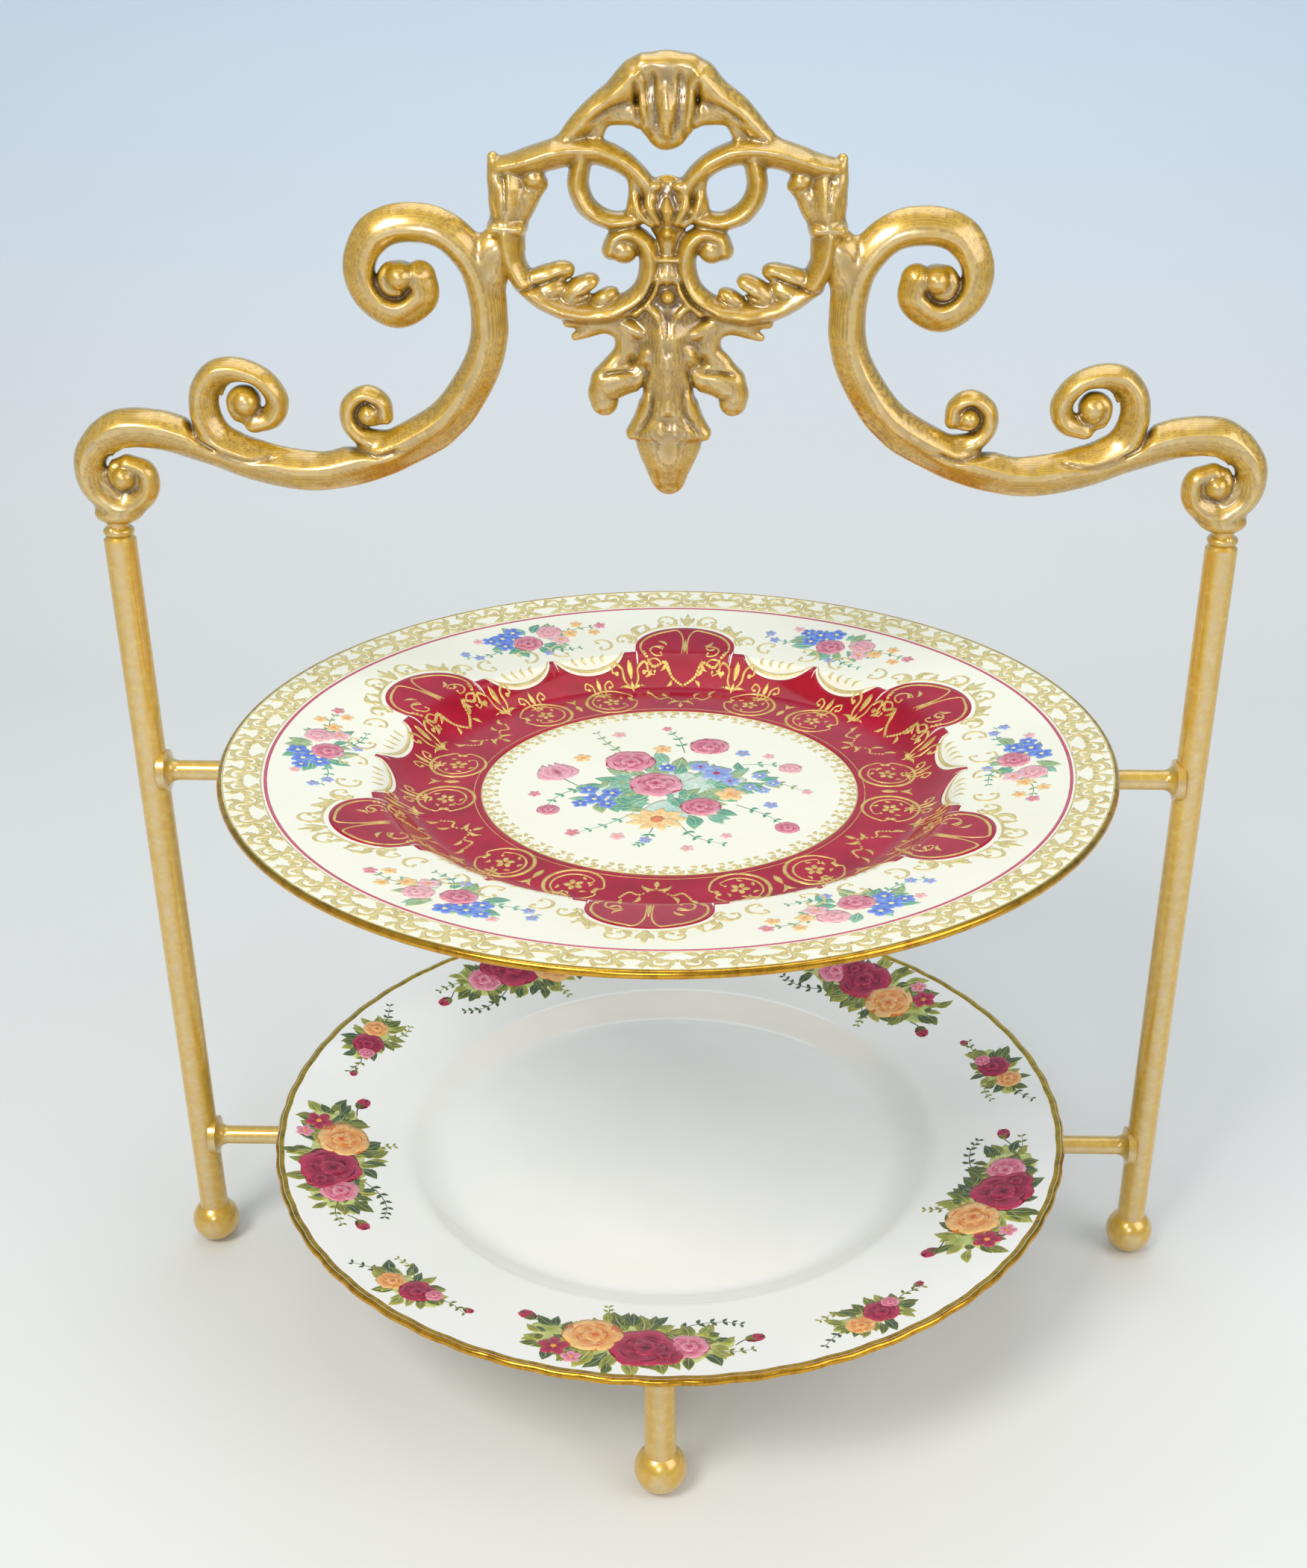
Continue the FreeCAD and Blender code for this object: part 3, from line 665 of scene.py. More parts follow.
    # creases: (line, width, depth)
    for line, width, depth in (
        ([(0, 300), (0.4, 296), (0, 291)], 1.0, 0.7),
        ([(4.2, 306), (5.0, 299), (8.6, 293)], 0.7, 0.9),
        ([(5.2, 312), (7.0, 306.5), (8.2, 302)], 0.8, 1.1),
        ([(0, 327), (0.2, 321), (0, 315)], 0.8, 1.1),
        ([(3.4, 336), (7.0, 330), (14.0, 326.0)], 0.6, 0.9),
        ([(9.5, 310.8), (14.5, 310.6), (18.5, 309.8)], 0.6, 1.0),
        ([(25.6, 330.8), (21.0, 332.4), (17.6, 335.0)], 0.5, 0.9),
        ([(44.0, 363.5), (43.6, 359.0), (43.8, 353.0)], 0.7, 0.9),
        ([(3.6, 390.0), (3.2, 383.0), (2.4, 374.0)], 0.7, 1.0),
        ([(8.6, 388.0), (8.2, 382.0), (7.6, 377.0)], 0.6, 0.8),
        ([(20.5, 376.5), (15.0, 380.2), (9.8, 382.0)], 0.6, 0.9),
        ([(41.0, 332.6), (35.0, 334.6), (28.6, 336.8)], 0.6, 1.1),
    ):
        clay.groove(line, width, depth)
    for place in (1.2, 4.0, 6.6):
        clay.groove([(place, 377.0), (place * 1.1, 374.6), (place * 1.15, 372.0)], 0.4, 0.5)
    clay.hand_work(4.0, 0.12, 5)
    return clay


# ---------------------------------------------------------------- plates
class Plate:
    """The shape of one plate, worked out from its CAD node, in millimetres."""

    FLOOR_THICKNESS = 4.0
    FOOT_HEIGHT = 2.5
    FOOT_RADIUS = 61.0
    RIM_THICKNESS = 3.1
    LIP_THICKNESS = 2.4
    LIP_INSET = 1.1
    SHOULDER_RADIUS = 90.0
    FLOOR_RADIUS = 77.0
    TURNED_STEPS = 448
    WAVE_START = 0.88       # share of the radius where the waved edge begins

    def __init__(self, node, body, shoulder_drop, waves=0, wave_size=0.0):
        low, high = box_mm(node)
        self.node = node
        self.body = body
        self.radius = (high[0] - low[0]) / 2
        self.lip_z = high[2]
        self.foot_z = low[2]
        self.floor_z = self.foot_z + self.FOOT_HEIGHT + self.FLOOR_THICKNESS
        self.shoulder_z = self.lip_z - shoulder_drop
        self.waves = waves
        self.wave_size = wave_size
        self.top_radii, self.top_heights = self.top_profile()

    def top_profile(self):
        """Heights of the upper face: flat floor, rising wall, rounded shoulder, broad rim."""
        radii = np.arange(0, self.radius - self.LIP_INSET + 0.01, 0.5)
        rise = np.clip((radii - self.FLOOR_RADIUS) / (self.SHOULDER_RADIUS - self.FLOOR_RADIUS), 0, 1)
        wall = self.floor_z + (self.shoulder_z - self.floor_z) * rise ** 1.5
        rim = self.shoulder_z + (self.lip_z - self.shoulder_z) * (radii - self.SHOULDER_RADIUS) / (
            self.radius - self.LIP_INSET - self.SHOULDER_RADIUS
        )
        heights = np.where(radii < self.SHOULDER_RADIUS, wall, rim)
        window = 9
        padded = np.pad(heights, window // 2, mode="reflect", reflect_type="odd")
        return radii, np.convolve(padded, np.ones(window) / window, "valid")

    def height(self, x, y):
        return float(np.interp(math.hypot(x, y), self.top_radii, self.top_heights))

    def wave(self, radius, angle):
        """How far the scalloped edge moves outwards at this radius and angle."""
        if not self.waves:
            return 0.0
        share = max(0.0, (radius - self.WAVE_START * self.radius) / (0.12 * self.radius))
        ripple = abs(math.sin(self.waves / 2 * angle)) - 0.6
        return self.wave_size * share ** 2 * (ripple + 0.25 * math.sin(5 * angle + 1.0))

    def outline(self):
        """The whole section from the middle of the top, round the lip and foot, to underneath."""
        profile = list(zip(self.top_radii, self.top_heights))
        wall_zone = (self.FLOOR_RADIUS - 5, self.SHOULDER_RADIUS + 10)
        top = [
            (r, z) for index, (r, z) in enumerate(profile)
            if index % 4 == 0 or (wall_zone[0] < r < wall_zone[1] and index % 2 == 0)
        ]
        lip_radius = self.LIP_THICKNESS / 2
        centre = (self.radius - self.LIP_INSET, self.lip_z - lip_radius)
        lip = [
            (centre[0] + self.LIP_INSET * math.cos(a), centre[1] + lip_radius * math.sin(a))
            for a in np.radians(np.linspace(90, -90, 9))
        ]
        under_z = self.floor_z - self.FLOOR_THICKNESS
        shoulder = (self.SHOULDER_RADIUS + 2, self.shoulder_z - self.RIM_THICKNESS - 0.2)
        wall = [
            (self.FLOOR_RADIUS + 1 + (shoulder[0] - self.FLOOR_RADIUS - 1) * s,
             under_z + (shoulder[1] - under_z) * s ** 1.5)
            for s in (0.85, 0.65, 0.45, 0.25, 0.1, 0.0)
        ]
        outer, inner = self.FOOT_RADIUS + 2, self.FOOT_RADIUS - 2
        foot = [(outer + 2.0, under_z), (outer + 0.6, under_z - 0.3), (outer, self.foot_z + 0.5),
                (outer - 0.6, self.foot_z), (inner + 0.6, self.foot_z), (inner, self.foot_z + 0.5),
                (inner - 0.6, under_z - 0.3), (inner - 2.0, under_z)]
        rim = [(centre[0] - (centre[0] - shoulder[0]) * s, centre[1] - lip_radius
                + (shoulder[1] - centre[1] + lip_radius) * s) for s in (0.1, 0.5, 0.9)]
        below = [(r, under_z) for r in (40.0, 20.0, 0.0)]
        return top[:-1] + lip + rim + [shoulder] + wall + foot + below

    def turned(self, name, outline, material):
        """A turned piece from an open (radius, z) outline, with the plate's edge waves."""
        points = []
        for step in range(self.TURNED_STEPS):
            angle = 2 * math.pi * step / self.TURNED_STEPS
            for radius, z in outline:
                reach = radius + self.wave(radius, angle)
                points.append((reach * math.cos(angle), reach * math.sin(angle), z))
        faces = revolved_faces(self.TURNED_STEPS, len(outline))
        return piece_from(name, points, faces, material, self.body)

    def body_piece(self, name, material):
        outline = self.outline()
        outline[0] = (0.01, outline[0][1])
        outline[-1] = (0.01, outline[-1][1])
        piece = self.turned(name, outline, material)
        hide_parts(self.node)

    def gilt_edge(self, name, material, inside, under):
        """Gilding wrapped over the lip, from inside on the top face to under the edge."""
        skin = 0.07
        middle = (self.radius - self.LIP_INSET, self.lip_z - self.LIP_THICKNESS / 2)
        start = self.radius - self.LIP_INSET - inside
        top = [(r, self.height(r, 0)) for r in np.linspace(start, middle[0], 6)]
        ring = [(start, top[0][1] - 0.15)] + [(r, z + skin) for r, z in top]
        for a in np.radians(np.linspace(80, -90 * min(1.0, under), 12)):
            ring.append((middle[0] + (self.LIP_INSET + skin) * math.cos(a),
                         middle[1] + (self.LIP_THICKNESS / 2 + skin) * math.sin(a)))
        ring.append((ring[-1][0] - 0.25, ring[-1][1] + 0.15))
        self.turned(name, ring, material)


# ---------------------------------------------------------------- raised paint
def blob(centre, width, height, count=12, wobble=0.0, turn=0.0):
    """A closed rounded outline; wobble makes its edge uneven."""
    points = []
    for index in range(count):
        angle = 2 * math.pi * index / count
        reach = 1 + rng.uniform(-wobble, wobble)
        x, y = width * reach * math.cos(angle), height * reach * math.sin(angle)
        cosine, sine = math.cos(turn), math.sin(turn)
        points.append((centre[0] + x * cosine - y * sine, centre[1] + x * sine + y * cosine))
    return points


def leaf_outline(start, end, width, bend=0.15):
    """A pointed leaf from its stalk to its tip."""
    dx, dy = end[0] - start[0], end[1] - start[1]
    points = []
    shape = [(0.0, 0.0), (0.15, 0.5), (0.35, 0.95), (0.55, 1.0), (0.78, 0.6), (1.0, 0.0)]
    sides = [(s, w) for s, w in shape] + [(s, -w) for s, w in shape[-2:0:-1]]
    for s, w in sides:
        sag = bend * 4 * s * (1 - s) * math.hypot(dx, dy)
        offset = w * width / 2 + sag
        length = math.hypot(dx, dy)
        points.append((start[0] + dx * s - dy / length * offset, start[1] + dy * s + dx / length * offset))
    return points


class Spot:
    """A local place on a plate: turned about the plate's centre and set at a radius.

    Its own first axis runs round the plate and its second axis points outwards.
    """

    def __init__(self, degrees, radius=0.0, size=1.0, flip=False):
        angle = math.radians(degrees)
        self.origin = (radius * math.cos(angle), radius * math.sin(angle))
        self.turn = angle - math.pi / 2
        self.size = size
        self.flip = -1 if flip else 1

    def __call__(self, point):
        x, y = point[0] * self.size * self.flip, point[1] * self.size
        cosine, sine = math.cos(self.turn), math.sin(self.turn)
        return self.origin[0] + x * cosine - y * sine, self.origin[1] + x * sine + y * cosine


class Paint:
    """Thin raised paint on one plate, gathered into one piece. Each point has its own colour."""

    SINK = 0.12

    def __init__(self, plate):
        self.plate = plate
        self.points = []
        self.faces = []
        self.colours = []

    def put(self, point, lift, colour):
        self.points.append((point[0], point[1], self.plate.height(*point) + lift))
        self.colours.append((*colour, 1.0))
        return len(self.points) - 1

    def patch(self, spot, outline, lift, middle, edge, heart=None):
        """A filled outline that shades from a middle colour to an edge colour."""
        outline = [spot(p) for p in outline]
        count = len(outline)
        area = sum(a[0] * b[1] - a[1] * b[0] for a, b in zip(outline, outline[1:] + outline[:1]))
        if area < 0:
            outline.reverse()
        centre = spot(heart) if heart else (
            sum(p[0] for p in outline) / count, sum(p[1] for p in outline) / count
        )
        size = max(math.dist(centre, p) for p in outline)
        if size > 5.0:
            shares = np.linspace(0, 1, int(size / 2.2) + 2)[1:]
        else:
            shares = (0.62, 1.0)
        top = self.put(centre, lift, middle)
        rings = []
        for share in shares:
            shade = blend_colours(middle, edge, 0.45 if share == 0.62 else share)
            height = lift * (0.8 if share == 1 else 1)
            inward = [tuple(c + (v - c) * share for v, c in zip(p, centre)) for p in outline]
            rings.append([self.put(p, height, shade) for p in inward])
        rings.append([self.put(p, -self.SINK, edge) for p in outline])
        for index in range(count):
            after = (index + 1) % count
            self.faces.append((top, rings[0][index], rings[0][after]))
            for near, far in zip(rings, rings[1:]):
                self.faces.append((near[index], far[index], far[after], near[after]))

    def ribbon(self, spot, points, widths, lift, colour, tip=None, per_span=6):
        """A painted line with a slightly domed face. Its colour may shade towards its tip."""
        path = smooth_path([spot(p) for p in points], per_span)
        spread = along(path, [w * spot.size for w in widths])
        heading = np.gradient(path, axis=0)
        heading /= np.linalg.norm(heading, axis=1)[:, None] + 1e-9
        normal = np.stack([-heading[:, 1], heading[:, 0]], 1)
        rows = []
        for index, (point, aside, width) in enumerate(zip(path, normal, spread)):
            shade = blend_colours(colour, tip or colour, index / (len(path) - 1))
            half = aside * width / 2
            rows.append([
                self.put(point + half, -self.SINK, shade),
                self.put(point + half, lift * 0.7, shade),
                self.put(point, lift + min(width, 1.0) * 0.08, shade),
                self.put(point - half, lift * 0.7, shade),
                self.put(point - half, -self.SINK, shade),
            ])
        for near, far in zip(rows, rows[1:]):
            for side in range(5):
                other = (side + 1) % 5
                self.faces.append((near[side], near[other], far[other], far[side]))
        self.faces.append(tuple(reversed(rows[0])))
        self.faces.append(tuple(rows[-1]))

    def dot(self, spot, centre, size, lift, colour, count=7):
        self.patch(spot, blob(centre, size, size, count), lift, colour, colour)

    def finish(self, name, material):
        piece = piece_from(name, self.points, self.faces, material, self.plate.body)
        layer = piece.data.color_attributes.new("paint", "FLOAT_COLOR", "POINT")
        layer.data.foreach_set("color", np.array(self.colours, np.float32).ravel())


# ---------------------------------------------------------------- painted motifs
CRIMSON = (linear(92, 6, 30), linear(158, 18, 54), linear(204, 66, 98))
AMBER = (linear(206, 84, 34), linear(236, 158, 62), linear(250, 214, 146))
PINK = (linear(186, 44, 82), linear(222, 104, 134), linear(246, 182, 192))
SOFT_PINK = (linear(176, 40, 70), linear(214, 104, 124), linear(240, 184, 188))
PALE_PINK = (linear(216, 120, 132), linear(234, 168, 168), linear(244, 206, 198))
BLUE = (linear(38, 62, 158), linear(70, 104, 200), linear(140, 166, 224))
SOFT_BLUE = (linear(84, 104, 176), linear(124, 148, 206), linear(176, 192, 224))
PEACH = (linear(222, 128, 74), linear(242, 186, 110), linear(248, 222, 160))
LEAVES = [
    (linear(62, 72, 30), linear(120, 128, 44)),
    (linear(86, 96, 36), linear(158, 158, 60)),
    (linear(104, 116, 40), linear(186, 182, 78)),
    (linear(48, 62, 44), linear(98, 116, 62)),
]
SOFT_LEAVES = [
    (linear(70, 138, 104), linear(128, 184, 148)),
    (linear(96, 156, 128), linear(160, 200, 168)),
    (linear(118, 150, 96), linear(174, 194, 138)),
]


def shifted(centre, distance, angle):
    return centre[0] + distance * math.cos(angle), centre[1] + distance * math.sin(angle)


def arc(centre, radius, start, end, count=5):
    """Points on an arc, with angles in radians."""
    return [shifted(centre, radius, start + (end - start) * i / (count - 1)) for i in range(count)]


def rose(paint, spot, centre, radius, tones, lift):
    """A full rose: ruffled outer petals, a cupped heart and curled strokes between petals."""
    dark, body, light = tones
    shade = blend_colours(dark, body, 0.45)
    paint.patch(spot, blob(centre, radius * 0.95, radius * 0.88, 14, 0.06), lift, dark, shade)
    start = rng.uniform(0, 2 * math.pi)
    for index in range(6):
        angle = start + index * math.pi / 3 + rng.uniform(-0.15, 0.15)
        middle = shifted(centre, radius * 0.56, angle)
        outline = blob(middle, radius * 0.38, radius * 0.47, 11, 0.08, angle)
        heart = shifted(centre, radius * 0.36, angle)
        edge = blend_colours(light, body, rng.uniform(0.0, 0.5))
        paint.patch(spot, outline, lift + 0.012 + 0.005 * index, shade, edge, heart)
    for index in range(5):
        angle = start + 0.5 + index * 2 * math.pi / 5
        curl = arc(centre, radius * rng.uniform(0.44, 0.72), angle, angle + rng.uniform(0.6, 1.0), 4)
        paint.ribbon(spot, curl, [0.02 * radius, 0.1 * radius, 0.02 * radius], lift + 0.048, dark, shade, 3)
    cup = shifted(centre, radius * 0.08, start + 1)
    paint.patch(spot, blob(cup, radius * 0.46, radius * 0.42, 12, 0.05), lift + 0.055, dark, body)
    for index in range(4):
        angle = start + 0.7 + index * math.pi / 2
        middle = shifted(cup, radius * 0.22, angle)
        outline = blob(middle, radius * 0.17, radius * 0.25, 9, 0.06, angle)
        heart = shifted(cup, radius * 0.1, angle)
        paint.patch(spot, outline, lift + 0.062 + 0.005 * index, shade, light, heart)
    paint.patch(spot, blob(cup, radius * 0.15, radius * 0.13, 8, 0.1), lift + 0.088, dark, shade)
    curl = arc(cup, radius * 0.2, start, start + 2.4, 5)
    paint.ribbon(spot, curl, [0.03 * radius, 0.08 * radius, 0.03 * radius], lift + 0.093, light, body, 3)


def blossom(paint, spot, centre, radius, tones, lift, petals=5, heart=None):
    """A small open flower."""
    dark, body, light = tones
    start = rng.uniform(0, 2 * math.pi)
    for index in range(petals):
        angle = start + index * 2 * math.pi / petals + rng.uniform(-0.1, 0.1)
        middle = shifted(centre, radius * 0.58, angle)
        outline = blob(middle, radius * 0.46, radius * 0.4, 9, 0.08, angle)
        shade = blend_colours(body, dark, rng.uniform(0, 0.6))
        paint.patch(spot, outline, lift + 0.006 * index, shade, light, shifted(centre, radius * 0.3, angle))
    paint.dot(spot, centre, radius * 0.22, lift + 0.05, heart or AMBER[1])


def leaf(paint, spot, start, end, width, tones, lift, bend=0.12):
    """A painted leaf, dark along the middle with a pale vein."""
    dark, light = tones
    paint.patch(spot, leaf_outline(start, end, width, bend), lift, dark, light)
    sag = bend * math.hypot(end[0] - start[0], end[1] - start[1])
    length = math.hypot(end[0] - start[0], end[1] - start[1]) or 1
    middle = ((start[0] + end[0]) / 2 - (end[1] - start[1]) / length * sag,
              (start[1] + end[1]) / 2 + (end[0] - start[0]) / length * sag)
    vein = blend_colours(light, (0.8, 0.8, 0.45), 0.35)
    paint.ribbon(spot, [start, middle, end], [0.08 * width, 0.1 * width, 0.02], lift + 0.008, vein, None, 3)


def bud(paint, spot, centre, radius, tones, lift, angle, greens):
    """A closed bud on a short stalk, pointing along an angle."""
    dark, body, light = tones
    foot = shifted(centre, -radius * 2.6, angle + 0.25)
    stalk = [foot, shifted(centre, -radius * 1.2, angle), centre]
    paint.ribbon(spot, stalk, [0.35, 0.4, 0.4], lift, greens[0], None, 4)
    paint.patch(spot, blob(centre, radius * 1.15, radius * 0.8, 10, 0.05, angle), lift + 0.01, body, dark)
    for side in (-1, 1):
        tip = shifted(centre, radius * 1.2, angle + side * 0.35)
        paint.patch(spot, leaf_outline(shifted(centre, -radius * 0.6, angle), tip, radius * 0.9, side * 0.1),
                    lift + 0.016 + 0.004 * side, body, light)
        sepal = shifted(centre, radius * 0.5, angle + side * 1.1)
        paint.patch(spot, leaf_outline(shifted(centre, -radius * 1.2, angle), sepal, radius * 0.5),
                    lift + 0.026 + 0.003 * side, greens[0], greens[1])


def tendril(paint, spot, points, size, tones, lift):
    """A thin stalk with small paired leaves along it."""
    path = smooth_path(points, 6)
    paint.ribbon(spot, points, [0.34, 0.28, 0.12], lift, tones[0], None, 4)
    for index in range(3, len(path), 3):
        step = path[index] - path[index - 1]
        heading = math.atan2(step[1], step[0])
        share = 1 - 0.4 * index / len(path)
        for side in (-1, 1):
            tip = shifted(path[index], size * share, heading + side * 0.95)
            paint.patch(spot, leaf_outline(tuple(path[index]), tip, size * 0.5 * share, 0.1),
                        lift + 0.008, tones[0], tones[1])


def foliage(paint, spot, centre, spread, count, sizes, choices, lift):
    """Leaves fanning out of an oval heart, pointing outwards."""
    for index in range(count):
        angle = 2 * math.pi * index / count + rng.uniform(-0.2, 0.2)
        reach = rng.uniform(0.5, 0.86)
        start = (centre[0] + spread[0] * reach * math.cos(angle),
                 centre[1] + spread[1] * reach * math.sin(angle))
        length = rng.uniform(*sizes)
        end = shifted(start, length, angle + rng.uniform(-0.6, 0.6))
        leaf(paint, spot, start, end, length * rng.uniform(0.42, 0.56), rng.choice(choices),
             lift + rng.uniform(0, 0.03), rng.uniform(-0.15, 0.15))


# ---------------------------------------------------------------- lower plate's painting
ROSE_SPRAYS = 5
SPRAY_STEP = 72                 # degrees from one large spray to the next
FIRST_SPRAY = -94
FIRST_SPRIG = -58
HALO = (linear(150, 160, 60), linear(206, 212, 132))
SOFT_HALO = (linear(168, 200, 180), linear(216, 226, 200))
BLOSSOM_EYE = linear(236, 226, 150)


def halo(paint, spot, lumps, count, rise, start, tones):
    """The soft wash of colour under a spray, from (x, y, width, height) lumps."""
    for x, y, width, height in lumps:
        outline = blob((x, y), width, height, count, 0.14)
        paint.patch(spot, outline, 0.012 + rise * (x + start), *tones)


def rose_spray(plate, degrees, name):
    """A large spray: amber, crimson and pink roses among yellow-green leaves, with buds."""
    paint = Paint(plate)
    spot = Spot(degrees, 112.5, size=1.06)
    lumps = ((2, 1, 19, 9), (-14, 2, 11, 8), (18, 3, 9, 7), (-23, -1, 5, 3.6), (24, -3, 5, 3.6))
    halo(paint, spot, lumps, 22, 0.0006, 24, HALO)
    for details in (
        ((2, 2), (20, 9.5), 34, (6, 11), LEAVES, 0.045),
        ((-17, 1), (9, 7), 16, (5, 8), LEAVES, 0.06),
        ((21, 1), (8, 7), 16, (5, 8), LEAVES, 0.06),
        ((3, -4), (12, 6), 16, (5, 8), LEAVES, 0.07),
    ):
        foliage(paint, spot, *details)
    for details in (
        ([(-10, -6), (-17, -10.5), (-24, -12), (-29, -11)], 3.0, LEAVES[3], 0.05),
        ([(4, -8), (8, -12.5), (9, -17)], 2.8, LEAVES[2], 0.05),
        ([(-20, 2), (-27, 3.5), (-33, 2)], 2.8, LEAVES[1], 0.05),
    ):
        tendril(paint, spot, *details)
    bud(paint, spot, (31, -9), 2.7, CRIMSON, 0.06, -0.6, LEAVES[0])
    bud(paint, spot, (-33.5, -4), 2.5, CRIMSON, 0.06, math.pi + 0.4, LEAVES[1])
    blossom(paint, spot, (21.5, 5.5), 4.4, CRIMSON, 0.1)
    blossom(paint, spot, (16, 10.2), 3.0, PINK, 0.1)
    for details in (
        ((-15.2, 1.6), 6.6, PINK, 0.11),
        ((-3.0, 3.4), 10.4, CRIMSON, 0.14),
        ((-9.5, 6.5), 5.4, CRIMSON, 0.15),
        ((11.6, -1.6), 9.0, AMBER, 0.19),
    ):
        rose(paint, spot, *details)
    for x, y in ((3, -7), (-21, -4), (25, 1), (6, 12)):
        leaf(paint, spot, (x, y), (x * 1.12, y * 1.5), 3.0, LEAVES[0], 0.12)
    paint.finish(name, enamel)


def small_rose_spray(plate, degrees, name):
    """A small spray between the large ones."""
    paint = Paint(plate)
    spot = Spot(degrees, 119.5, size=1.08)
    halo(paint, spot, ((0, 0, 9.5, 4.6), (-7, 0, 5, 3.6), (8, 0, 5, 3.6)), 18, 0.0012, 8, HALO)
    foliage(paint, spot, (0, 0), (11, 5), 26, (4, 7), LEAVES, 0.04)
    for details in (
        ([(7, 1), (13, 1.5), (19, 4.2)], 2.6, LEAVES[3], 0.04),
        ([(-7, -1), (-13, -3.5), (-19, -3)], 2.6, LEAVES[1], 0.04),
        ([(2, -4), (8, -7.4), (13, -7.2)], 2.4, LEAVES[2], 0.04),
    ):
        tendril(paint, spot, *details)
    bud(paint, spot, (-19, -4.8), 1.5, CRIMSON, 0.05, math.pi + 0.2, LEAVES[1])
    for details in (
        ((5.6, 1.6), 4.6, AMBER, 0.09),
        ((-2.8, -0.4), 5.6, CRIMSON, 0.12),
        ((-7.4, -2.6), 2.9, PINK, 0.14),
    ):
        rose(paint, spot, *details)
    paint.finish(name, enamel)


# ---------------------------------------------------------------- upper plate's painting
LOBE_COUNT = 6
LOBE_STEP = 60                  # degrees from one lobe to the next
LOBE_TURN = 28.4                # degrees to the first lobe's middle
LOBE_RADIUS = 95.0              # from the plate's centre to a lobe's centre
LOBE_SIZE = (17.6, 14.0)
MEDALLION_RADIUS = 59.0
HOLLOW_RADIUS = 92.6            # where the hollow curves between the lobes meet
HOLLOW_DEPTH = 7.6
BULGE_MIDDLE = 21.5             # degrees from a lobe's middle to the middle of a hollow curve
BULGE_HALF = 8.0


def lobe_turn(index):
    """Direction of a lobe's middle, in degrees."""
    return LOBE_TURN + LOBE_STEP * index


def panel_turn(index):
    """Direction of the middle of the panel before a lobe, in degrees."""
    return LOBE_TURN - LOBE_STEP // 2 + LOBE_STEP * index


def ground_edge(angle):
    """Outer radius of the wine ground: six lobes with two hollow curves between each pair."""
    half = LOBE_STEP / 2
    offset = abs((math.degrees(angle) - LOBE_TURN + half) % LOBE_STEP - half)
    turn = math.radians(offset)
    across = math.sin(turn) / LOBE_SIZE[0]
    out = math.cos(turn) / LOBE_SIZE[1]
    a = across ** 2 + out ** 2
    b = -2 * out * LOBE_RADIUS / LOBE_SIZE[1]
    c = (LOBE_RADIUS / LOBE_SIZE[1]) ** 2 - 1
    if b * b - 4 * a * c > 0:
        return (-b + math.sqrt(b * b - 4 * a * c)) / (2 * a)
    share = (offset - BULGE_MIDDLE) / BULGE_HALF
    if abs(share) < 1:
        return HOLLOW_RADIUS - HOLLOW_DEPTH * math.sqrt(1 - share ** 2)
    return HOLLOW_RADIUS


def wine_ground(plate):
    """The wine-coloured ground between the medallion and the scalloped edge."""
    lift, sink = 0.07, 0.12
    steps, rings = 900, 44
    points = []
    for step in range(steps):
        angle = 2 * math.pi * step / steps
        outer = ground_edge(angle)
        radii = [MEDALLION_RADIUS + (outer - MEDALLION_RADIUS) * i / (rings - 1) for i in range(rings)]
        column = [(radii[0], -sink)] + [(r, lift) for r in radii] + [(outer, -sink)]
        for radius, height in column:
            x, y = radius * math.cos(angle), radius * math.sin(angle)
            points.append((x, y, plate.height(x, y) + height))
    faces = revolved_faces(steps, rings + 2)
    piece = piece_from("upper_wine_ground", points, faces, burgundy, plate.body)


GOLD_TONE = (1.0, 1.0, 1.0)


def frond(paint, spot, start, end, width, lift, bend=0.2):
    """A small pointed gold leaf."""
    paint.patch(spot, leaf_outline(start, end, width, bend), lift, GOLD_TONE, GOLD_TONE)


def c_scroll(paint, spot, centre, radius, start, end, width, lift, curl=0.45):
    """A gold scroll: an arc in degrees that curls in at both ends."""
    head = math.radians(start)
    tail = math.radians(end)
    turn = 1 if tail > head else -1
    inner = shifted(centre, radius * (1 - curl), head - turn * 0.2)
    outer = shifted(centre, radius * (1 - curl), tail + turn * 0.2)
    line = [inner, shifted(centre, radius * 0.86, head - turn * 0.16)]
    line += arc(centre, radius, head, tail, max(5, int(abs(end - start) / 30)))
    line += [shifted(centre, radius * 0.86, tail + turn * 0.16), outer]
    paint.ribbon(spot, line, [width * 0.5, width, width * 1.25, width, width * 0.5], lift, GOLD_TONE, None, 4)
    paint.dot(spot, inner, width * 0.85, lift + 0.01, GOLD_TONE)
    paint.dot(spot, outer, width * 0.85, lift + 0.01, GOLD_TONE)


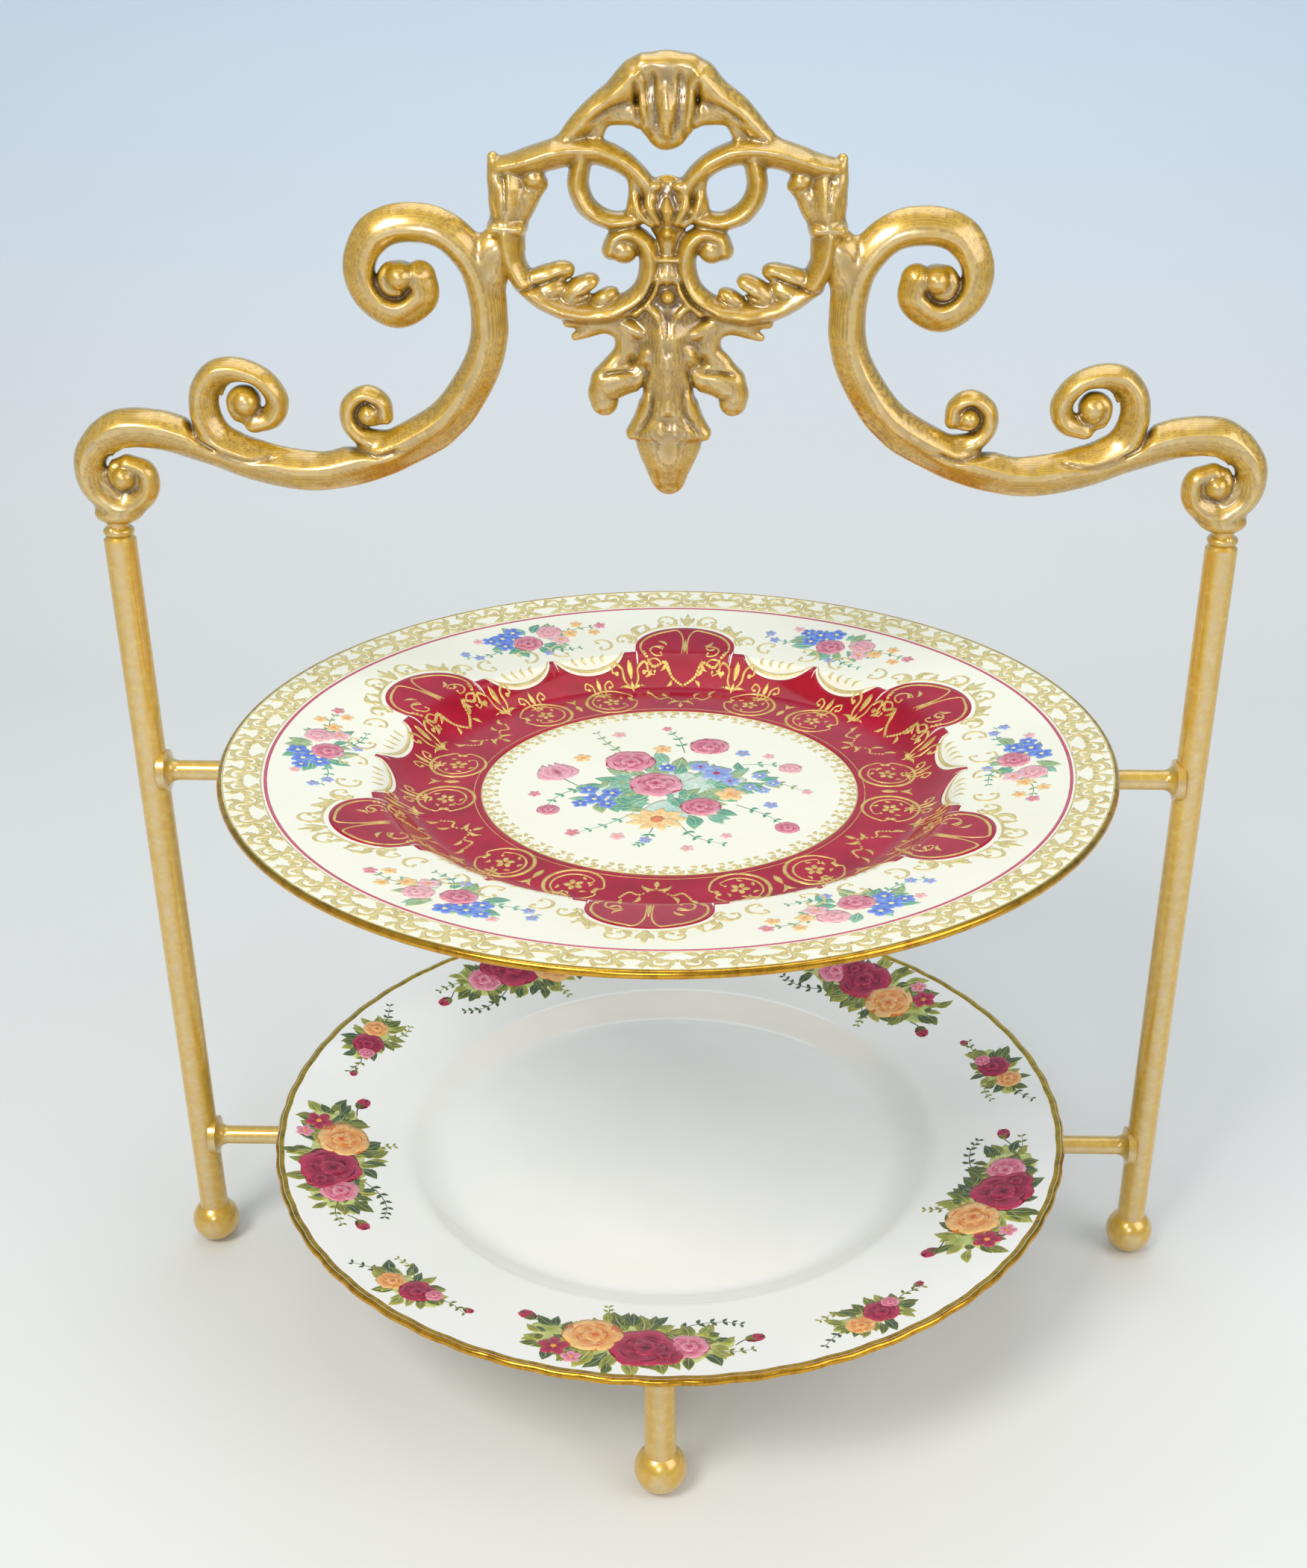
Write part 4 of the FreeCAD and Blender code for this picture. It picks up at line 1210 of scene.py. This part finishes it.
def rim_lace(plate, material):
    """The band of pale gold filigree round the rim: scrolls, fronds and dots over and over."""
    paint = Paint(plate)
    count = 72
    for index in range(count):
        spot = Spot(360 * index / count, 130.2, flip=index % 2 == 1)
        c_scroll(paint, spot, (-1.6, 1.2), 2.9, -60, 200, 1.35, 0.04)
        c_scroll(paint, spot, (3.0, -1.8), 2.4, 120, 380, 1.2, 0.04)
        frond(paint, spot, (0.6, -1.0), (4.8, 3.4), 2.4, 0.05)
        frond(paint, spot, (0.2, -1.6), (-4.0, -4.6), 2.3, 0.05)
        frond(paint, spot, (2.2, 0.6), (3.0, 5.6), 2.0, 0.055, -0.1)
        frond(paint, spot, (-2.0, 3.4), (-3.6, 5.8), 1.9, 0.055)
        frond(paint, spot, (3.6, -3.4), (1.2, -5.6), 1.9, 0.055)
        for x, y in ((-5.4, 0.2), (-1.2, 1.2), (2.9, -1.8), (5.6, -5.0)):
            paint.dot(spot, (x, y), 0.95, 0.06, GOLD_TONE)
    for radius, width in ((136.0, 0.7), (124.8, 0.5)):
        paint.ribbon(Spot(90), circle(radius, 181), [width, width], 0.04, GOLD_TONE, None, 1)
    paint.finish("upper_rim_lace", material)


def medallion_lace(plate, material):
    """The narrow pale gold border inside the medallion."""
    paint = Paint(plate)
    count = 84
    for index in range(count):
        spot = Spot(360 * index / count, 56.6, flip=index % 2 == 1)
        frond(paint, spot, (-1.6, -0.6), (1.2, 1.6), 1.6, 0.04)
        frond(paint, spot, (1.4, -1.2), (-0.6, -2.8), 1.4, 0.045)
        paint.dot(spot, (0.2, -0.4), 0.85, 0.05, GOLD_TONE)
        paint.dot(spot, (1.8, 0.9), 0.45, 0.05, GOLD_TONE)
    paint.ribbon(Spot(90), circle(58.8, 145), [0.5, 0.5], 0.07, GOLD_TONE, None, 1)
    paint.finish("upper_medallion_lace", material)


def cream_scrolls(plate, material):
    """Pale gold scrolls on the cream, round the lobes and along the hollow curves."""
    paint = Paint(plate)
    for index in range(LOBE_COUNT):
        lobe = Spot(lobe_turn(index), LOBE_RADIUS)
        for side in (-1, 1):
            edge = [(side * (LOBE_SIZE[0] + 1.9) * math.cos(a), (LOBE_SIZE[1] + 1.9) * math.sin(a))
                    for a in np.radians(np.linspace(4, 84, 9))]
            paint.ribbon(lobe, edge, [0.5, 1.1, 0.5], 0.045, GOLD_TONE, None, 4)
            for a in np.radians((12, 27, 42, 57, 72)):
                foot = (side * (LOBE_SIZE[0] + 2.2) * math.cos(a), (LOBE_SIZE[1] + 2.2) * math.sin(a))
                tip = (side * (LOBE_SIZE[0] + 6.2) * math.cos(a + 0.14),
                       (LOBE_SIZE[1] + 5.6) * math.sin(a + 0.14))
                frond(paint, lobe, foot, tip, 2.0, 0.05, 0.2 * side)
                paint.dot(lobe, tip, 0.7, 0.06, GOLD_TONE)
            c_scroll(paint, lobe, (side * 21.0, 4.0), 3.4, 90 - side * 120, 90 + side * 130, 0.9, 0.05)
            c_scroll(paint, lobe, (side * 7.5, 18.6), 3.0, 90 + side * 150, 90 - side * 100, 0.9, 0.05)
            frond(paint, lobe, (side * 19.0, 8.0), (side * 16.0, 15.0), 2.2, 0.05)
        for x, y in ((0, 24.5), (-2.6, 21.5), (2.6, 21.5)):
            frond(paint, lobe, (0, 16.0), (x, y), 2.0, 0.055, 0)
        paint.dot(lobe, (0, 16.4), 1.2, 0.065, GOLD_TONE)
        for side in (-1, 1):
            panel = Spot(panel_turn(index), 0)
            hollow = []
            for share in np.linspace(-0.98, 0.98, 13):
                offset = side * (30 - BULGE_MIDDLE + share * BULGE_HALF)
                angle = math.radians(90 - offset)
                radius = ground_edge(math.radians(panel_turn(index) - offset)) + 1.5
                hollow.append((radius * math.cos(angle), radius * math.sin(angle)))
            paint.ribbon(panel, hollow, [0.4, 1.0, 1.0, 0.4], 0.045, GOLD_TONE, None, 4)
            bulge = Spot(panel_turn(index) - side * (30 - BULGE_MIDDLE), 92.0)
            c_scroll(paint, bulge, (-side * 7.5, 6.0), 4.2, 90 - side * 20, 90 + side * 190, 0.9, 0.05)
            c_scroll(paint, bulge, (side * 7.0, 6.6), 3.6, 90 + side * 20, 90 - side * 190, 0.9, 0.05)
            for x in (-4.5, -1.5, 1.5, 4.5):
                frond(paint, bulge, (x, -3.6), (x * 1.3, 0.2), 1.2, 0.05)
    paint.finish("upper_cream_scrolls", material)


def wine_scrolls(plate, material):
    """Gold scrollwork on the wine ground: paired ovals, plumes, garlands and lobe linings."""
    paint = Paint(plate)
    for index in range(LOBE_COUNT):
        panel = Spot(panel_turn(index), 0)
        for side in (-1, 1):
            oval = Spot(panel_turn(index) + side * 10.2, 69.8)
            c_scroll(paint, oval, (0, 0), 8.8, 90 + side * 100, 90 + side * 425, 1.05, 0.1, 0.2)
            c_scroll(paint, oval, (0, 0.4), 6.6, 90 + side * 140, 90 + side * 330, 0.65, 0.1, 0.3)
            blossom_gold(paint, oval, (0, 0), 3.0)
            for a in (20, 75, 130, 185, 240):
                foot = shifted((0, 0), 4.6, math.radians(a))
                frond(paint, oval, foot, shifted(foot, 2.4, math.radians(a + 70)), 1.0, 0.1)
            fleur(paint, Spot(panel_turn(index) + side * 9.0, 78.6), 0.85)
            fleur(paint, Spot(panel_turn(index) + side * 17.4, 83.0), 1.1)
            twig = Spot(panel_turn(index) + side * 23.5, 86.5)
            c_scroll(paint, twig, (side * 0.5, 0.0), 2.6, 90 + side * 60, 90 - side * 170, 0.6, 0.1)
            frond(paint, twig, (side * -1.0, -1.5), (side * -4.0, 2.6), 1.1, 0.1, 0.2 * side)
        frond(paint, panel, (0, 66.0), (0, 72.0), 2.0, 0.11, 0)
        frond(paint, panel, (0, 72.0), (2.4, 76.0), 1.3, 0.11, 0.2)
        frond(paint, panel, (0, 72.0), (-2.4, 76.0), 1.3, 0.11, -0.2)
        lobe = Spot(lobe_turn(index), 0)
        drop = [(-10, 72.5), (-7.5, 69.4), (-4.5, 70.8), (0, 67.0), (4.5, 70.8), (7.5, 69.4), (10, 72.5)]
        path = smooth_path(drop, 4)
        for point in path:
            paint.dot(lobe, tuple(point), 0.5, 0.1, GOLD_TONE, 6)
        frond(paint, lobe, (0, 66.5), (0, 62.5), 1.6, 0.1, 0)
        for side in (-1, 1):
            frond(paint, lobe, (0, 68.0), (side * 4.4, 65.0), 1.5, 0.1, 0.2 * side)
            frond(paint, lobe, (side * 4.5, 71.5), (side * 6.5, 75.5), 1.3, 0.1)
            frond(paint, lobe, (side * 9.5, 73.0), (side * 12.0, 77.0), 1.4, 0.1)
            width, height = LOBE_SIZE[0] - 1.8, LOBE_SIZE[1] - 1.8
            lining = [(side * width * math.cos(a), LOBE_RADIUS + height * math.sin(a))
                      for a in np.radians(np.linspace(-32, 78, 9))]
            lining += [(side * x, LOBE_RADIUS + y) for x, y in ((1.2, 7.6), (0.8, 2.0), (1.0, -4.0))]
            paint.ribbon(lobe, lining, [0.4, 0.9, 1.0, 0.8, 0.5, 0.4], 0.1, GOLD_TONE, None, 4)
            swag = [(side * x, y) for x, y in ((14.5, 91.5), (11.0, 86.0), (6.5, 87.5), (4.0, 83.0), (0, 79.5))]
            for point in smooth_path(swag, 5):
                paint.dot(lobe, tuple(point), 0.6, 0.1, GOLD_TONE, 6)
            for x, y, tip in ((11.2, 85.2, 2.2), (6.6, 86.4, -2.0), (4.0, 82.0, 1.8)):
                frond(paint, lobe, (side * x, y), (side * (x + tip), y - 3.2), 1.3, 0.1, 0.15)
            c_scroll(paint, lobe, (side * 9.2, 92.6), 3.0, 90 + side * 30, 90 - side * 200, 0.6, 0.1)
            frond(paint, lobe, (side * 10.0, 99.0), (side * 6.5, 96.0), 1.3, 0.1)
            frond(paint, lobe, (side * 11.0, 95.0), (side * 7.8, 93.0), 1.2, 0.1)
        frond(paint, lobe, (0, 90.0), (0, 101.0), 1.2, 0.1, 0)
    paint.ribbon(Spot(90), circle(61.2, 145), [0.3, 0.3], 0.09, GOLD_TONE, None, 1)
    paint.finish("upper_wine_scrolls", material)


def fleur(paint, spot, size):
    """A tall gold flourish: a pointed middle leaf between two leaves that curl outwards."""
    frond(paint, spot, (0, -5.5 * size), (0, -0.5 * size), 1.2 * size, 0.1, 0)
    frond(paint, spot, (0, -0.5 * size), (0, 6.5 * size), 1.9 * size, 0.11, 0)
    for side in (-1, 1):
        stem = [(side * x * size, y * size) for x, y in (
            (0, -4.0), (2.2, -0.5), (2.6, 3.0), (5.0, 4.6), (5.8, 2.2), (4.4, 1.6),
        )]
        paint.ribbon(spot, stem, [0.3 * size, 0.9 * size, 0.8 * size, 0.6 * size], 0.1, GOLD_TONE, None, 4)
        paint.dot(spot, stem[-1], 0.75 * size, 0.11, GOLD_TONE)
        frond(paint, spot, (0, -4.5 * size), (side * 4.4 * size, -3.2 * size), 1.2 * size, 0.1, 0.25 * side)


def blossom_gold(paint, spot, centre, radius):
    """A five-petalled gold flower."""
    for index in range(5):
        angle = math.radians(18 + 72 * index)
        middle = shifted(centre, radius * 0.6, angle)
        outline = blob(middle, radius * 0.42, radius * 0.3, 8, 0.08, angle)
        paint.patch(spot, outline, 0.1, GOLD_TONE, GOLD_TONE)


def flower_spray(plate, degrees, name):
    """A rim spray on the cream: blue cluster, pink rose and small blossoms with teal leaves."""
    paint = Paint(plate)
    spot = Spot(degrees, 109.0, size=1.12)
    foliage(paint, spot, (-1, 0), (12, 5.6), 18, (4.5, 8), SOFT_LEAVES, 0.035)
    for details in (
        ([(-9, -2), (-16, -5), (-23, -4.5)], 2.4, SOFT_LEAVES[1], 0.04),
        ([(10, 0), (17, 1.5), (24, 0)], 2.4, SOFT_LEAVES[2], 0.04),
        ([(2, -5), (6, -9), (12, -10)], 2.2, SOFT_LEAVES[0], 0.04),
    ):
        tendril(paint, spot, *details)
    for x, y, size in ((-8.5, 3.6, 3.4), (-4.0, 6.0, 3.2), (-9.5, -1.2, 3.0), (-12.6, 3.2, 2.6),
                       (-5.4, 2.0, 2.8)):
        blossom(paint, spot, (x, y), size, BLUE, 0.07, 5, BLOSSOM_EYE)
    rose(paint, spot, (-2.0, -1.8), 5.0, SOFT_PINK, 0.11)
    rose(paint, spot, (7.0, 2.6), 4.4, PALE_PINK, 0.1)
    blossom(paint, spot, (8.6, -3.0), 3.2, PALE_PINK, 0.1)
    blossom(paint, spot, (13.0, -0.4), 2.6, PEACH, 0.1)
    for x, y, tones in ((20.5, -2.6, PEACH), (17.2, 4.2, PEACH), (24.0, 0.6, SOFT_PINK)):
        blossom(paint, spot, (x, y), 2.0, tones, 0.08)
    for x, y, tones in ((-20.0, -5.6, SOFT_BLUE), (-23.4, -2.4, SOFT_BLUE), (-16.5, 4.0, PALE_PINK),
                        (2.0, -9.4, SOFT_BLUE)):
        blossom(paint, spot, (x, y), 1.7, tones, 0.08)
    paint.finish(name, enamel)


def tulip(paint, spot, centre, size, tones, lift, angle):
    """A tulip seen from the side, opening along an angle."""
    dark, body, light = tones
    for spread, reach in ((0.55, 0.95), (-0.55, 0.95), (0.25, 1.1), (-0.25, 1.1), (0, 1.0)):
        tip = shifted(centre, size * reach, angle + spread)
        paint.patch(spot, leaf_outline(shifted(centre, -size * 0.6, angle), tip, size * 0.66, spread * 0.4),
                    lift, body if spread else dark, light)
        lift += 0.008
    paint.ribbon(spot, [shifted(centre, -size * 0.5, angle), shifted(centre, -size * 1.6, angle + 0.2)],
                 [0.5, 0.3], lift - 0.04, SOFT_LEAVES[2][0])


def bouquet(plate):
    """The medallion's loose bouquet: roses, a tulip, blue flowers, peach blooms and scattered buds."""
    paint = Paint(plate)
    spot = Spot(90, size=1.05)
    lumps = ((0, 1, 13, 9), (-13, -2, 9, 8), (14, 3, 9, 8), (1, -16, 9, 7))
    halo(paint, spot, lumps, 20, 0.0006, 14, SOFT_HALO)
    for details in (
        ((0, 2), (25, 16), 34, (6, 11), SOFT_LEAVES, 0.035),
        ((0, 0), (17, 11), 22, (6, 10), SOFT_LEAVES, 0.05),
        ((2, -14), (16, 11), 22, (5, 9), SOFT_LEAVES, 0.06),
        ((-18, -6), (7, 7), 12, (5, 8), SOFT_LEAVES, 0.05),
        ((22, 6), (8, 6), 12, (5, 8), SOFT_LEAVES, 0.05),
    ):
        foliage(paint, spot, *details)
    for line in (
        [(-14, 22), (-20, 30), (-24, 38)], [(4, 24), (2, 34), (-2, 42)], [(22, 16), (31, 16), (38, 14)],
        [(-24, 0), (-32, -6), (-36, -14)], [(20, -12), (28, -18), (34, -25)], [(26, 6), (33, 3), (40, -2)],
        [(-10, -18), (-18, -26), (-26, -31)], [(4, -26), (8, -33), (16, -37)],
        [(-4, -27), (-6, -35), (-8, -38)],
    ):
        tendril(paint, spot, line, 2.8, rng.choice(SOFT_LEAVES), 0.04)
    for x, y, size in ((-22, -9, 3.6), (-17, -5, 3.4), (-24, -3, 3.0), (-18, -12, 3.2), (-1, 13, 2.8),
                       (-26, -12, 2.6), (27, 8, 2.6), (31, 3, 2.4), (28, -2, 2.2), (24, 0, 2.4)):
        blossom(paint, spot, (x, y), size, SOFT_BLUE if x > 0 else BLUE, 0.075, 5, BLOSSOM_EYE)
    for x, y, size in ((14, 9.5, 5.2), (9, 14, 3.4), (18, 4, 3.2)):
        blossom(paint, spot, (x, y), size, SOFT_BLUE, 0.085, 6, SOFT_PINK[0])
    for turn in range(9):
        angle = 2 * math.pi * turn / 9
        tip = shifted((-3, -22), 8.6, angle)
        tip = (tip[0] * 1.15 + 0.4, tip[1] * 0.9 - 2)
        paint.patch(spot, leaf_outline((-3, -22), tip, 4.2, 0.05), 0.08 + 0.004 * turn, PEACH[1], PEACH[2])
    paint.dot(spot, (-3, -22), 2.2, 0.13, PEACH[0])
    blossom(paint, spot, (18, -5), 4.6, PEACH, 0.1)
    tulip(paint, spot, (-34, 8), 7.6, SOFT_PINK, 0.09, math.radians(118))
    for details in (
        ((-12.6, 17.5), 8.2, SOFT_PINK, 0.1),
        ((11.6, 29.0), 6.6, SOFT_PINK, 0.1),
        ((9.6, -13.5), 6.4, SOFT_PINK, 0.12),
        ((-4.2, 1.2), 8.8, SOFT_PINK, 0.15),
        ((36.5, 13.5), 3.8, PALE_PINK, 0.08),
        ((-35.0, -16.5), 3.6, SOFT_PINK, 0.08),
        ((34.5, -26.5), 3.9, SOFT_PINK, 0.08),
    ):
        rose(paint, spot, *details)
    blossom(paint, spot, (-3.0, 26.5), 3.0, PEACH, 0.09)
    blossom(paint, spot, (-27.5, 19.5), 2.8, PEACH, 0.09)
    for x, y, tones in ((-17, 37, PALE_PINK), (-2, 42, SOFT_PINK), (22, 24, SOFT_BLUE), (30, 22, PALE_PINK),
                        (17, -32, PALE_PINK), (-6, -35, SOFT_BLUE), (-27, -31, SOFT_PINK),
                        (-40, -6, SOFT_PINK), (41, -3, PALE_PINK), (30, -12, SOFT_BLUE),
                        (-14, -33, PALE_PINK), (6, -40, PALE_PINK)):
        blossom(paint, spot, (x, y), rng.uniform(1.7, 2.5), tones, 0.07)
    paint.finish("upper_bouquet", enamel)


def pink_line(plate):
    """The fine pink line inside the rim's filigree."""
    paint = Paint(plate)
    paint.ribbon(Spot(90), circle(123.4, 241), [1.0, 1.0], 0.03, linear(196, 84, 104), None, 1)
    paint.finish("upper_pink_line", enamel)


# ---------------------------------------------------------------- stage and light
def make_stage():
    """A pale floor that sweeps up into a faintly blue backdrop."""
    shader = Shader("backdrop")
    place = shader.node("ShaderNodeTexCoord")
    split = shader.node("ShaderNodeSeparateXYZ")
    shader.join(place.outputs["Object"], split.inputs["Vector"])
    height = shader.range(split.outputs["Z"], 0.0, 0.9, 0.0, 1.0)
    stops = [(0.0, linear(226, 224, 216)), (0.3, linear(206, 219, 228)), (1.0, linear(158, 196, 226))]
    colour = shader.ramp(height, stops)
    shader.join(colour, shader.body.inputs["Base Color"])
    shader.constant(roughness=0.9, specular=0.1)
    front, back, bend, top, half_width = -1.2, 0.5, 0.45, 2.2, 2.6
    turns = np.linspace(0.1, math.pi / 2, 14)
    outline = [(front, 0.0), (back, 0.0)]
    outline += [(back + bend * math.sin(a), bend - bend * math.cos(a)) for a in turns]
    outline += [(back + bend, top)]
    points = []
    for y, z in outline:
        points += [(-half_width, y, z), (half_width, y, z)]
    faces = [(i, i + 1, i + 3, i + 2) for i in range(0, 2 * len(outline) - 2, 2)]
    mesh = bpy.data.meshes.new("backdrop")
    mesh.from_pydata(points, [], faces)
    mesh.polygons.foreach_set("use_smooth", [True] * len(faces))
    mesh.materials.append(shader.material)
    floor = bpy.data.objects.new("backdrop", mesh)
    bpy.context.scene.collection.objects.link(floor)


def lamp(name, place, aim, size, power, colour=(1, 1, 1)):
    """A square soft lamp aimed at a point."""
    data = bpy.data.lights.new(name, "AREA")
    data.size = size
    data.energy = power
    data.color = colour
    made = bpy.data.objects.new(name, data)
    made.location = place
    made.rotation_euler = (Vector(aim) - Vector(place)).to_track_quat("-Z", "Y").to_euler()
    bpy.context.scene.collection.objects.link(made)


def make_light():
    """A dim even world and four soft lamps, from the left, the right, the front and above."""
    world = bpy.data.worlds.new("studio")
    world.use_nodes = True
    background = world.node_tree.nodes["Background"]
    background.inputs["Color"].default_value = (*linear(240, 243, 250), 1)
    background.inputs["Strength"].default_value = 0.53
    bpy.context.scene.world = world
    bpy.context.scene.view_settings.view_transform = "Standard"
    lamp("key", (-0.55, -0.75, 1.15), (0, 0, 0.2), 0.45, 8.6)
    lamp("fill", (0.9, -0.5, 0.8), (0, 0, 0.2), 0.8, 5.0, linear(240, 242, 250))
    lamp("front", (-0.12, -1.25, 0.75), (0, 0, 0.3), 0.3, 2.8, linear(232, 238, 255))
    lamp("top", (0.05, 0.25, 1.3), (0, 0, 0.15), 0.9, 4.4, linear(240, 246, 255))


# ---------------------------------------------------------------- assembly
gold_cast = gold_paint("gold_cast", True)
gold_rod = gold_paint("gold_rod", False)
gold_weld = gold_paint("gold_weld", False, 0.9)
cream_glaze = glaze("cream_glaze", linear(244, 238, 214), linear(240, 233, 204))
white_glaze = glaze("white_glaze", linear(247, 244, 236), linear(242, 240, 232))
rim_gilding = gilding("rim_gilding", linear(214, 160, 48), linear(150, 100, 22), 1.0, 0.16)
enamel = painted_enamel("enamel")
burgundy = burgundy_enamel("burgundy")

make_camera()
arm_clay = model_arm()
casting("visual_arm_right", arm_clay, gold_cast, "scroll_arm_right")
casting("visual_arm_left", arm_clay, gold_cast, "scroll_arm_left", mirror=True)
casting("visual_crest", model_crest(), gold_cast, "crest_centre")

upper = Plate("plate_upper", "upper_plate", 6.65)
lower = Plate("plate_lower", "lower_plate", 8.75, 58, 0.45)
upper.body_piece("visual_plate_upper", cream_glaze)
lower.body_piece("visual_plate_lower", white_glaze)
upper.gilt_edge("upper_gilt_edge", rim_gilding, 0.3, 0.9)
lower.gilt_edge("lower_gilt_edge", rim_gilding, 1.6, 0.8)

lace_gold = gilding("lace_gold", linear(228, 208, 136), linear(202, 176, 100), 0.25, 0.3)
scroll_gold = gilding("scroll_gold", linear(240, 200, 108), linear(202, 150, 60), 0.45, 0.24)
wine_ground(upper)
rim_lace(upper, lace_gold)
medallion_lace(upper, lace_gold)
cream_scrolls(upper, lace_gold)
wine_scrolls(upper, scroll_gold)
pink_line(upper)
bouquet(upper)
for index in range(LOBE_COUNT):
    flower_spray(upper, panel_turn(index), "upper_spray_%d" % index)
for index in range(ROSE_SPRAYS):
    rose_spray(lower, FIRST_SPRAY + SPRAY_STEP * index, "lower_spray_%d" % index)
    small_rose_spray(lower, FIRST_SPRIG + SPRAY_STEP * index, "lower_sprig_%d" % index)

for name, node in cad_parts.items():
    if name.startswith("weld"):
        paint_for = gold_weld
    elif name.startswith("plate") or name.startswith("crest") or name.startswith("scroll"):
        continue
    else:
        paint_for = gold_rod
    for place in node.material_slots:
        place.material = paint_for

make_stage()
make_light()
